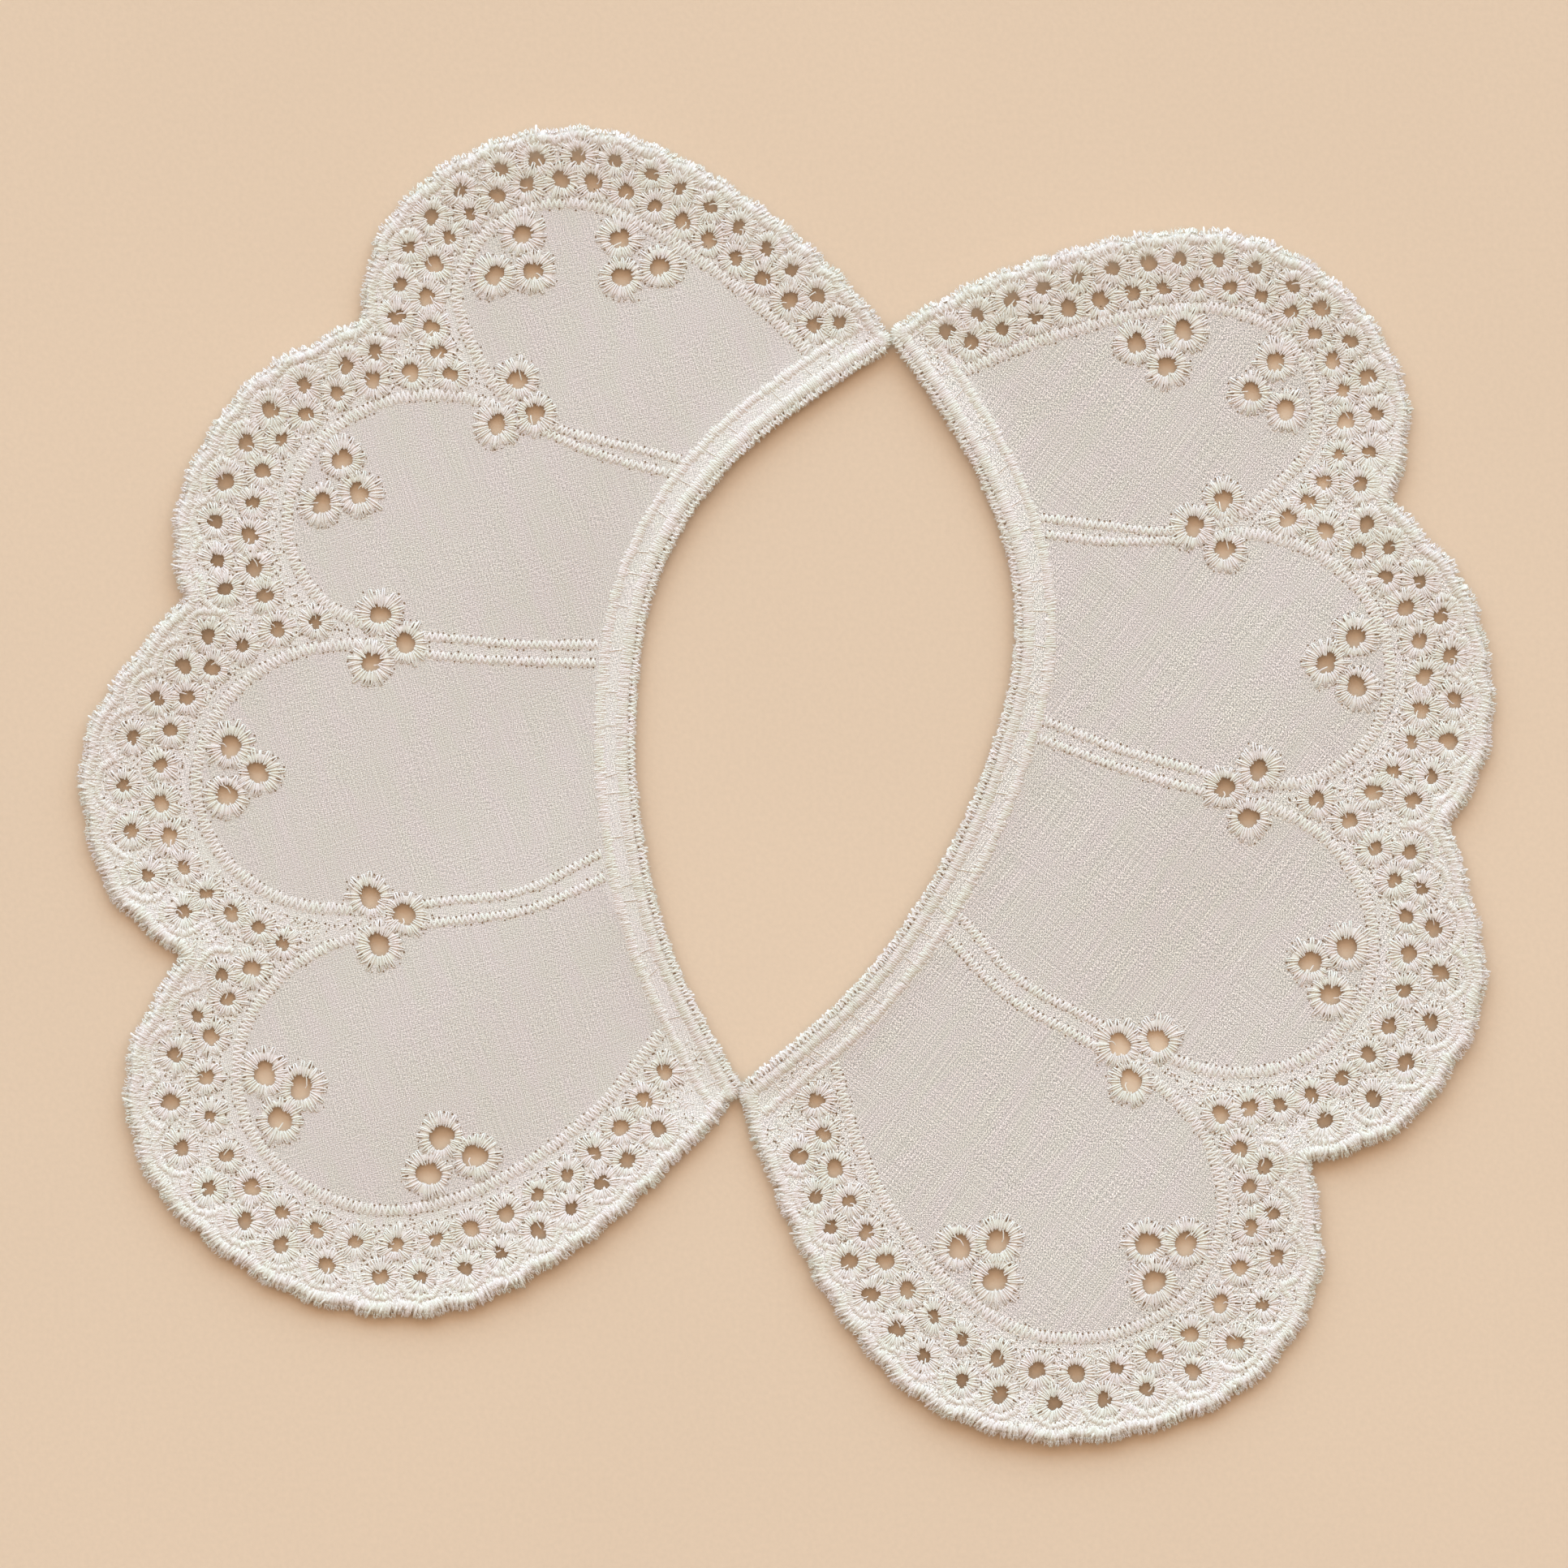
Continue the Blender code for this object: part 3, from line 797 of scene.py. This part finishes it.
def raised(spots, side, *heights):
    """Guide points of stitches: four spots each, and how far over the cloth each of them is."""
    flat = np.stack(spots, axis=1)
    rise = np.stack([np.broadcast_to(height, len(flat)) for height in heights], axis=1)
    return np.dstack([flat, lie(flat, side) + rise])


def arched(start, end, side, crown, start_dip=0.15, end_dip=0.15, lean=0.22):
    """Guide points of stitches that rise out of the cloth at start and go in at end."""
    reach = lean * (end - start)
    pull = 1.33 * crown
    return raised((start, start + reach, end - reach, end), side, -start_dip, pull, pull, -end_dip)


def round_marks(spots):
    """A mark of painted needle-hole shade is a spot and the slit that runs from it, here of no length.
    """
    return np.hstack([spots, 0 * spots])


def open_loops(placed, reach, corners, rough, inner, outer, side, luck):
    """Loops out from a line and back. A corner is a share of the reach and a step along."""
    spots, turns, tangents = placed
    flat = []
    for share, step in corners:
        far = reach * share + (luck.normal(0, rough, len(spots)) if rough else 0)
        near = step + luck.normal(0, 0.12, len(spots))
        flat.append(spots + far[:, None] * turns + near[:, None] * tangents)
    return raised(flat, side, inner, outer, outer, inner)


def stations_along(line, pitch, luck, unevenness=0.12):
    count = int((len(line) - 1) * LINE_STEP / pitch)
    stations = (np.arange(count) + 0.5 + luck.normal(0, unevenness, count)) * pitch / LINE_STEP
    return np.clip(stations, 0, len(line) - 1.001)


def place_on(line, out, stations):
    """Spots at the stations of a line, the directions out across it there, and those along it."""
    index = np.arange(len(line))
    spots = np.stack([np.interp(stations, index, line[:, k]) for k in (0, 1)], axis=1)
    turns = np.stack([np.interp(stations, index, out[:, k]) for k in (0, 1)], axis=1)
    turns /= np.linalg.norm(turns, axis=1, keepdims=True)
    return spots, turns, np.stack([turns[:, 1], -turns[:, 0]], axis=1)


def rays(turn):
    return np.stack([np.cos(turn), np.sin(turn)], axis=-1)


# %% [markdown]
# ## Eyelet rings
# Each eyelet is pierced and its edge is oversewn all round. A stitch comes up through the hole,
# turns over the rim, runs out like a spoke, bends and comes back, so the spokes stand in pairs that
# close in small loops. The rim is imported solid; outside it, small discs of painted shade stand for
# the dark slits and needle holes between the threads. Trefoil rings are wider, and widest on the side
# away from the trefoil's middle.

# %% Oversew every eyelet
SPOKE_RADIUS = 0.168
SPOKE_FLATNESS = 0.75
# Ring stitches take only the upper tones: painted light that makes them brighter than satin of the same
# thread.
RING_PAINTED_LIGHT_TONES = (0.4, 1.0)
BORDER_SPOKES = 30
BORDER_REACH = 2.4
TREFOIL_SPOKES = 36
TREFOIL_REACH = 2.7
TREFOIL_LEAN = 0.45


def rim_at(turn, rim, centre):
    """How far an eyelet's rim is from its centre, in each direction."""
    out = rim - centre
    rim_turn = np.arctan2(out[:, 1], out[:, 0])
    order = np.argsort(rim_turn)
    return np.interp(turn, rim_turn[order], np.linalg.norm(out, axis=1)[order], period=2 * math.pi)


def ring_guides(centre, rim, reach, lean, spokes, side, luck):
    """Guide points of one ring's spokes, and the spots of painted shade between them."""
    count = spokes + 2 * luck.integers(-1, 2)
    pitch = 2 * math.pi / count
    turn = np.arange(count) * pitch + luck.uniform(0, 1) + luck.normal(0, 0.26 * pitch, count)
    near = rim_at(turn, rim, centre)
    size = near.mean()
    near = near - 0.12 + luck.normal(0, 0.10, count)
    near -= 0.16 * np.sin(4 * turn + luck.uniform(0, 6.3)) * luck.random()
    tufts = luck.random(count) < 0.11
    near -= np.maximum(tufts, np.roll(tufts, 1)) * luck.uniform(0.15, 0.5, count)
    pair_turn = turn[::2] + 0.5 * pitch
    pair_far = size + reach + lean @ rays(pair_turn).T + luck.normal(0, 0.32, count // 2)
    apart = np.where(np.arange(count) % 2 == 0, -pitch, pitch)
    tip_turn = np.repeat(pair_turn + luck.normal(0, 0.25 * pitch, count // 2), 2) + 0.08 * apart
    arm_turn = 0.4 * turn + 0.6 * tip_turn + 0.25 * apart
    near, far = near[:, None], np.repeat(pair_far, 2)[:, None]
    spots = (
        centre + near * rays(turn),
        centre + (near + 0.30) * rays(turn),
        centre + (far + 0.25) * rays(arm_turn),
        centre + far * rays(tip_turn),
    )
    crown = luck.uniform(0.28, 0.42, count)
    foot = luck.uniform(0.02, 0.16, count)
    guides = raised(spots, side, foot, 0.08 + 0.55 * crown, 0.4 * crown, 0.02)
    out = rays(pair_turn)
    # Slits inside the loops and dots between them are spots of painted shade.
    slits = centre + (0.30 * size + 0.70 * pair_far - 0.1)[:, None] * out
    slits = np.hstack([slits, out * luck.uniform(0.25, 0.55, count // 2)[:, None]])
    dot_far = pair_far + luck.uniform(-0.5, 0.35, count // 2)
    dots = round_marks(centre + dot_far[:, None] * rays(pair_turn + pitch))
    return guides, np.vstack([slits[luck.random(count // 2) < 0.3], dots[luck.random(count // 2) < 0.8]])


PAD_COLUMNS = 12
PAD_TONE = 0.4
PAD_LENGTH = 18.0
PAD_PROFILE = (
    # millimetres out from the rim, share of the reach, height over the cloth
    (0.08, 0.0, -0.08),
    (0.40, 0.0, 0.03),
    (0.0, 0.44, 0.10),
    (0.0, 0.76, -0.05),
)


def ring_pads(name, rims, centres, leans, reaches, side):
    """Low rounded pads under the rings' stitches, joined into one piece."""
    turn = np.linspace(0, 2 * math.pi, PAD_COLUMNS, endpoint=False)
    rows = []
    for rim, centre, lean, reach in zip(rims, centres, leans, reaches):
        near = rim_at(turn, rim, centre)
        wide = near.mean() + reach + rays(turn) @ lean - near
        for step, share, height in PAD_PROFILE:
            flat = centre + (near + step + share * wide)[:, None] * rays(turn)
            rows.append(np.column_stack([flat, lie(flat, side) + height]))
    points = np.vstack(rows)
    deep = len(PAD_PROFILE)
    corners, columns = [], []
    for row in range(deep - 1):
        for column in range(PAD_COLUMNS):
            ahead = (column + 1) % PAD_COLUMNS
            a, b = row * PAD_COLUMNS + column, row * PAD_COLUMNS + ahead
            c, d = a + PAD_COLUMNS, b + PAD_COLUMNS
            corners += [(a, c, d), (a, d, b)]
            columns += [(column, column, column + 1), (column, column + 1, column + 1)]
    starts = np.arange(len(centres)) * deep * PAD_COLUMNS
    faces = (np.array(corners)[None] + starts[:, None, None]).reshape(-1, 3)
    pads = piece_from(name, points, faces, thread_finish)
    give_number(pads, "tone", np.full(len(points), PAD_TONE))
    run = np.tile(np.array(columns).ravel(), len(centres)) * (PAD_LENGTH / PAD_COLUMNS)
    give_uv(pads, np.column_stack([0 * run, run]))
    return pads


for side in SIDES:
    luck = np.random.default_rng(SEEDS["rings"])
    marks = pattern[side]
    split = len(marks["border"])
    trefoil_gap = np.linalg.norm(marks["trefoil"][:, None] - marks["trefoil"][None], axis=2)
    own_three = np.argsort(trefoil_gap, axis=1)[:, :3]
    away = marks["trefoil"] - marks["trefoil"][own_three].mean(1)
    away *= TREFOIL_LEAN / np.linalg.norm(away, axis=1, keepdims=True)
    level = np.zeros((split, 2))
    rims = marks["eyelet_rims"]
    kinds = (
        ("border_rings", marks["border"], rims[:split], level, BORDER_REACH, BORDER_SPOKES),
        ("trefoil_rings", marks["trefoil"], rims[split:], away, TREFOIL_REACH, TREFOIL_SPOKES),
    )
    for kind, centres, loops, leans, reach, spokes in kinds:
        reaches = reach * luck.uniform(0.9, 1.1, len(centres))
        eyelets = zip(centres, loops, reaches, leans)
        made = [ring_guides(*eyelet, spokes, side, luck) for eyelet in eyelets]
        guides = np.vstack([guides for guides, _ in made])
        lay_threads(side, kind, guides, SPOKE_RADIUS, LOOP, luck, SPOKE_FLATNESS, tones=RING_PAINTED_LIGHT_TONES)
        threads[side].append(ring_pads(f"{side}_{kind}_pads", loops, centres, leans, reaches, side))
        needle_shade_marks[side] += [spots for _, spots in made]
        print(side, kind, "stitches", len(guides))

# %% [markdown]
# ## Petal lines
# A narrow zigzag outlines each petal. Machine zigzag goes over and back, so the strokes lean
# alternately one way and the other and meet in small points on both sides of the line.

# %% Stitch the petal lines
ARCH_WIDTH = 2.45
STEM_WIDTH = 1.8
STROKE_STEP = 0.60
PETAL_THREAD = 0.23
PETAL_CROWN = 0.14


def zigzag(line, width, stroke, side, crown, luck):
    stations = stations_along(line, stroke, luck, 0.16)
    spots, turns, _ = place_on(line, across(line), stations)
    sway = np.where(np.arange(len(spots)) % 2 == 0, 0.5, -0.5) * width
    sway = sway * luck.uniform(0.82, 1.15, len(spots))
    corners = spots + sway[:, None] * turns
    lap = 0.10 * (corners[1:] - corners[:-1])
    guides = arched(corners[:-1] - lap, corners[1:] + lap, side, crown, 0.1, 0.1)
    beyond = np.abs(sway) + luck.uniform(-0.15, 0.3, len(spots))
    beyond = spots - (np.sign(sway) * beyond)[:, None] * turns
    return guides, round_marks(beyond)


for side in SIDES:
    luck = np.random.default_rng(SEEDS["petals"])
    marks = pattern[side]
    guides = []
    for name in marks["petals"]:
        width = ARCH_WIDTH if "arch" in name else STEM_WIDTH
        bent, corners = zigzag(marks["lines"][name], width, STROKE_STEP, side, PETAL_CROWN, luck)
        guides.append(bent)
        # Some points beyond the zigzag's corners get a spot of painted shade.
        needle_shade_marks[side].append(corners[luck.random(len(corners)) < 0.55])
    guides = np.vstack(guides)
    lay_threads(side, "petal_lines", guides, PETAL_THREAD, SHORT_STITCH, luck, 0.65)
    print(side, "petal strokes", len(guides))

# %% [markdown]
# ## Neck edge
# Two satin cords run beside the neck edge with a narrow strip of lawn between them. Satin stitch
# lies straight across its line, thread against thread, over a padding that rounds it. Outside the
# wide cord a low band of stitches wraps the cloth's edge, with small loops over it, and single
# threads bridge the strip like a ladder.

# %% Stitch the cords, the overcast edge and the ladder
NECK_PITCH = 0.44
NECK_THREAD = 0.26
SATIN_FLATNESS = 0.62
# Satin takes only the lower tones: painted shade that dims its highlights.
SATIN_PAINTED_SHADE_TONES = (0.0, 0.6)
LOOP_PITCH = 1.15
LOOP_THREAD = 0.22
# A share of the reach out, and millimetres along.
LOOP_CORNERS = ((0.42, -0.42), (1.12, -0.75), (1.12, 0.85), (0.42, 0.42))
TIP_STITCHES = 13
LADDER_STEP = 8.0
LADDER_THREAD = 0.12


def satin(line, out, reach, pitch, side, crown, luck, rough=0.12, dips=(0.15, 0.15, 0.16), slant=0.0):
    """Stitches straight across a line, from reach[0] inside it to reach[1] outside it."""
    spots, turns, tangents = place_on(line, out, stations_along(line, pitch, luck))
    count = len(spots)
    skew = (slant + luck.normal(0, 0.15, count))[:, None] * tangents
    start = spots - (reach[0] + luck.normal(0, rough, count))[:, None] * turns - skew
    end = spots + (reach[1] + luck.normal(0, rough, count))[:, None] * turns + skew
    return arched(start, end, side, crown * luck.uniform(0.84, 1.16, count), *dips)


def tip_fan(line, side, luck):
    """Stitches that turn round the two ends of a cord and close the collar's tips."""
    fans = []
    for end, before in ((line[0], line[4]), (line[-1], line[-5])):
        heading = math.atan2(*(end - before)[::-1])
        turn = heading + np.radians(np.arange(-100, 101, 16.0)) + luck.normal(0, 0.05, TIP_STITCHES)
        start = end - 0.5 * rays(heading) + 0.1 * rays(turn)
        tip = end + luck.uniform(2.05, 2.5, TIP_STITCHES)[:, None] * rays(turn)
        fans.append(arched(start, tip, side, 0.19, 0.1, 0.6))
    return np.vstack(fans)


for side in SIDES:
    luck = np.random.default_rng(SEEDS["neck"])
    marks = pattern[side]
    wide, narrow = marks["lines"]["neck_cord"], marks["lines"]["inner_neck_cord"]
    wide_out, narrow_out = outward(wide, marks["rim"]), outward(narrow, marks["rim"])
    rows = (
        satin(wide, wide_out, (1.4, 1.3), NECK_PITCH, side, 0.17, luck, 0.18),
        satin(wide, wide_out, (-1.5, 2.75), NECK_PITCH, side, 0.12, luck, 0.26, (0.12, 0.45, 0.12), 0.3),
        satin(narrow, narrow_out, (1.1, 1.1), NECK_PITCH, side, 0.11, luck, 0.24),
        tip_fan(wide, side, luck),
    )
    guides = np.vstack(rows)
    lay_threads(side, "neck_cords", guides, NECK_THREAD, STITCH, luck, SATIN_FLATNESS, 0.24, SATIN_PAINTED_SHADE_TONES)
    placed = place_on(wide, wide_out, stations_along(wide, LOOP_PITCH, luck))
    spots, turns, tangents = placed
    reach = luck.uniform(2.5, 3.05, len(spots))
    loops = open_loops(placed, reach, LOOP_CORNERS, 0.08, 0.25, 0.05, side, luck)
    far = luck.uniform(1.45, 1.75, len(spots))[:, None]
    drift = luck.normal(0, 0.15, len(spots))[:, None]
    # Painted shade: spots inside and between the loops, where the shaded table would show.
    loop_gap_shades = np.hstack([spots + far * turns + drift * tangents, 0.22 * turns])
    lay_threads(side, "overcast_loops", loops, LOOP_THREAD, STITCH, luck, 0.7)
    needle_shade_marks[side].append(loop_gap_shades[luck.random(len(loop_gap_shades)) < 0.6])
    spots, turns, tangents = place_on(wide, wide_out, stations_along(wide, LADDER_STEP, luck, 0.2))
    gap, nearest = distance_to(spots, narrow)
    spots, turns, tangents, nearest = (v[gap < 6.0] for v in (spots, turns, tangents, nearest))
    drift = luck.normal(0.3, 0.5, len(spots))[:, None] * tangents
    bars = arched(spots - 0.9 * turns, narrow[nearest] + 0.6 * turns + drift, side, 0.07, 0, 0, 0.15)
    lay_threads(side, "ladder_threads", bars, LADDER_THREAD, STITCH, luck, 0.7)
    print(side, "neck stitches", len(guides), "loops", len(loops), "ladder threads", len(bars))

# %% [markdown]
# ## Scalloped edge
# A dense band of satin closes the outer edge, with frayed ends hanging over it. Inside it, a
# narrower raised arc curves round each outer eyelet; neighbouring arcs meet in points, and that is
# what gives the scallops. The arcs are the far edges of circles drawn about the outer eyelets.

# %% Stitch the edge band and the arcs
EDGE_PITCH = 0.38
EDGE_DEPTH = 0.75
EDGE_THREAD = 0.25
OUTER_EYELET = 10.8
ARC_INSET = 3.75
ARC_PITCH = 0.40
ARC_THREAD = 0.25
PICOT_PITCH = 1.5
PICOT_THREAD = 0.17
PICOT_CORNERS = ((0.5, -0.2), (1.15, -0.55), (1.15, 0.65), (0.5, 0.25))


def edge_arcs(marks):
    """Runs of points, each an arc round one outer eyelet."""
    rim, centres = marks["rim"], marks["border"]
    gap, nearest = distance_to(centres, rim)
    in_front = distance_to(rim[nearest], centres)[1] == np.arange(len(centres))
    outer = np.flatnonzero((gap < OUTER_EYELET) & in_front)
    hub, reach = centres[outer], np.clip(gap[outer] - ARC_INSET, 2.6, 6.0)
    forward = rim[nearest[outer]] - hub
    heading = np.arctan2(forward[:, 1], forward[:, 0])
    arcs = []
    for i in range(len(hub)):
        arc = hub[i] + reach[i] * rays(heading[i] + np.radians(np.arange(-88, 89, 2.0)))
        others = np.linalg.norm(arc[:, None] - hub[None], axis=2) - reach[None]
        others[:, i] = 9.0
        free = np.flatnonzero((others.min(1) > -0.1) & (distance_to(arc, rim)[0] > 2.0))
        if len(free) > 6:
            arcs.append(arc[free[0] : free[-1] + 1])
    return arcs


for side in SIDES:
    luck = np.random.default_rng(SEEDS["edge"])
    marks = pattern[side]
    edge = marks["lines"]["edge_cord"]
    edge_out = outward(edge, marks["rim"])
    even, over = (0.1, EDGE_DEPTH, 0.08), (0.0, EDGE_DEPTH, 0.08)
    rows = (
        satin(edge, edge_out, (1.6, 1.2), EDGE_PITCH, side, 0.19, luck, 0.32, even),
        satin(edge, edge_out, (1.2, 1.3), EDGE_PITCH * 3, side, 0.24, luck, 0.45, over, 0.4),
    )
    guides = np.vstack(rows)
    flat_satin = {"flatness": SATIN_FLATNESS, "tones": SATIN_PAINTED_SHADE_TONES}
    lay_threads(side, "edge_band", guides, EDGE_THREAD, STITCH, luck, **flat_satin)
    runs = [smooth_line(arc[::3], LINE_STEP) for arc in edge_arcs(marks)]
    runs = [run for run in runs if len(run) > 5]
    outs = [outward(run, marks["rim"]) for run in runs]
    arcs = [satin(*run, (0.85, 0.85), ARC_PITCH, side, 0.16, luck, 0.26) for run in zip(runs, outs)]
    arcs = np.vstack(arcs)
    marks["arc_spots"] = arcs[:, :, :2].mean(1)
    lay_threads(side, "scallop_arcs", arcs, ARC_THREAD, SHORT_STITCH, luck, **flat_satin)
    placed = place_on(edge, edge_out, stations_along(edge, PICOT_PITCH, luck, 0.4))
    reach = luck.uniform(1.5, 2.15, len(placed[0]))
    picots = open_loops(placed, reach, PICOT_CORNERS, 0, 0.2, -0.7, side, luck)
    lay_threads(side, "picots", picots, PICOT_THREAD, STITCH, luck)
    print(side, "edge stitches", len(guides), "arcs", len(runs), "arc stitches", len(arcs))

# %% [markdown]
# ## Filling stitches
# Between rings, arcs and petal lines the border is not bare: small crooked stitches and loops tie
# everything together. They are scattered wherever the border has room for them.

# %% Scatter the filling stitches
FILL_SPACING = 1.45
FILL_THREAD = 0.18
ARCH_DOT_PITCH = 1.1

for side in SIDES:
    luck = np.random.default_rng(SEEDS["filling"])
    marks = pattern[side]
    rim = marks["rim"]
    low, high = rim.min(0), rim.max(0)
    grid = np.stack(np.meshgrid(*(np.arange(a, b, FILL_SPACING) for a, b in zip(low, high))), axis=-1)
    spots = grid.reshape(-1, 2) + luck.uniform(-0.45, 0.45, (grid.size // 2, 2))
    spots = spots[inside(spots, rim)]
    for room in marks["rooms"]:
        spots = spots[~inside(spots, room)]
    lines = marks["lines"]
    satin_lines = np.vstack([lines["edge_cord"], lines["neck_cord"], lines["inner_neck_cord"]])
    petal_lines = np.vstack([lines[name] for name in marks["petals"]])
    centres = np.vstack([marks["border"], marks["trefoil"]])
    kept_off = ((satin_lines, 1.5), (petal_lines, 2.6), (marks["arc_spots"], 1.0), (centres, 3.6))
    for targets, gap in kept_off:
        spots = spots[distance_to(spots, targets)[0] > gap]
    spots = spots[distance_to(spots, centres)[0] < 9.0]
    count = len(spots)
    half = luck.uniform(0.4, 0.85, count)[:, None] * rays(luck.uniform(0, math.pi, count))
    guides = arched(spots - half, spots + half, side, 0.13, 0.08, 0.08)
    looped = luck.random(count) < 0.3
    bulge = np.stack([-half[:, 1], half[:, 0]], axis=1) * luck.uniform(1.2, 2.0, count)[:, None]
    guides[looped, 1, :2] = (spots + half * 0.9 + bulge)[looped]
    guides[looped, 2, :2] = (spots - half * 0.9 + bulge)[looped]
    lay_threads(side, "filling_stitches", guides, FILL_THREAD, SHORT_STITCH, luck)
    # Spots of painted shade among the filling stitches, and beside the arch lines.
    dots = (spots + luck.normal(0, 0.5, spots.shape))[luck.random(count) < 0.6]
    needle_shade_marks[side].append(round_marks(dots))
    for name in marks["petals"]:
        if "arch" in name:
            line = lines[name]
            stations = stations_along(line, ARCH_DOT_PITCH, luck, 0.3)
            spots, turns, _ = place_on(line, outward(line, rim), stations)
            dots = spots + luck.uniform(3.0, 3.7, len(spots))[:, None] * turns
            needle_shade_marks[side].append(round_marks(dots[luck.random(len(spots)) < 0.7]))
    print(side, "filling stitches", count)

# %% [markdown]
# ## Needle holes, in painted shade
# Where thread goes into lawn the needle leaves a tiny hole, and inside the loops of a ring a slit
# shows; both look dark for the shade in them. Each is a small disc of painted shade a hair's
# breadth over the cloth, with no hole under it.

# %% Lay discs of painted shade at the needle holes
HOLE_SIDES = 6
HOLE_HEIGHT = 0.06

for side in SIDES:
    luck = np.random.default_rng(SEEDS["holes"])
    marked = np.vstack(needle_shade_marks[side])
    marked = marked[distance_to(marked[:, :2], pattern[side]["rim"])[0] > 0.5]
    spots, slits = marked[:, :2], marked[:, 2:]
    size = luck.uniform(0.14, 0.25, len(spots))
    ring = rays(np.linspace(0, 2 * math.pi, HOLE_SIDES, endpoint=False))
    along = slits / np.maximum(np.linalg.norm(slits, axis=1, keepdims=True), 1e-9)
    stretch = np.einsum("kd,nd->nk", ring, along)[..., None] * slits[:, None]
    flat = spots[:, None] + size[:, None, None] * ring[None] + stretch
    points = np.dstack([flat, lie(flat, side)[..., None] + HOLE_HEIGHT])
    fan = np.array([(0, k, k + 1) for k in range(1, HOLE_SIDES - 1)])
    faces = fan[None] + (np.arange(len(spots)) * HOLE_SIDES)[:, None, None]
    holes = piece_from(side + "_needle_holes", points.reshape(-1, 3), faces.reshape(-1, 3), painted_hole_shade)
    threads[side].append(holes)
    print(side, "needle holes", len(spots))

# %% [markdown]
# ## Loose ends
# Cut thread ends curl into the eyelets, and fine fibres stand out along the edge. Each is a fine
# bar bent along a random curl.

# %% Scatter loose ends and edge fibres
FRAYED_SHARE = 0.65
END_THREAD = 0.13
FIBRE_STEP = 0.5
FIBRE_THREAD = 0.075

for side in SIDES:
    luck = np.random.default_rng(SEEDS["ends"])
    marks = pattern[side]
    centres = np.vstack([marks["border"], marks["trefoil"]])
    radii = np.r_[marks["border_radius"], marks["trefoil_radius"]]
    frayed = np.flatnonzero(luck.random(len(centres)) < FRAYED_SHARE)
    turn = luck.uniform(0, 2 * math.pi, len(frayed))
    curl = []
    for k, reach in enumerate((1.05, 0.75, 0.5, 0.35)):
        turn = turn + luck.normal(0, 0.6, len(frayed)) * (k > 0)
        curl.append(centres[frayed] + (reach * radii[frayed])[:, None] * rays(turn))
    ends = raised(curl, side, 0.2, 0.08, -0.04, -0.16)
    lay_threads(side, "loose_ends", ends, END_THREAD, STITCH, luck)
    rim = marks["rim"]
    out = -across(rim, closed=True)
    count = int(len(rim) * OUTLINE_STEP / FIBRE_STEP)
    at = luck.integers(0, len(rim), count)
    along = np.stack([-out[at, 1], out[at, 0]], axis=1)
    fibres = np.empty((count, 4, 3))
    reach = luck.uniform(0.2, 0.9, count)
    sway = luck.normal(0, 0.5, count)
    for k, share in enumerate((-1.0, 0.2, 0.8, 1.0)):
        fibres[:, k, :2] = rim[at] + (share * reach)[:, None] * out[at]
        fibres[:, k, :2] += (sway * share**2 + luck.normal(0, 0.12, count))[:, None] * along
        fibres[:, k, 2] = lie(rim[at], side) + 0.1 - 0.15 * k * luck.random(count)
    lay_threads(side, "edge_fibres", fibres, FIBRE_THREAD, FIBRE, luck)
    print(side, "loose ends", len(ends), "edge fibres", count)

# %% [markdown]
# ## Put it together
# Every piece rides on the one body. The cloth stands for the panel, and each set of stitches for
# the cords that it covers.

# %% Ride and replace
for side in SIDES:
    stands_for = {
        side + "_cloth": [side + "_panel"],
        side + "_edge_band": [side + "_edge_cord"],
        side + "_neck_cords": [side + "_neck_cord", side + "_inner_neck_cord"],
        side + "_petal_lines": [f"{side}_{name}" for name in pattern[side]["petals"]],
    }
    for piece in [cloths[side], *threads[side]]:
        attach(piece, "root")
        if piece.name in stands_for:
            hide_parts(*stands_for[piece.name])
total = sum(len(p.data.polygons) for side in SIDES for p in [cloths[side], *threads[side]])
largest = max((len(p.data.polygons), p.name) for side in SIDES for p in threads[side])
print("faces in all pieces:", total, "most in one piece:", largest)
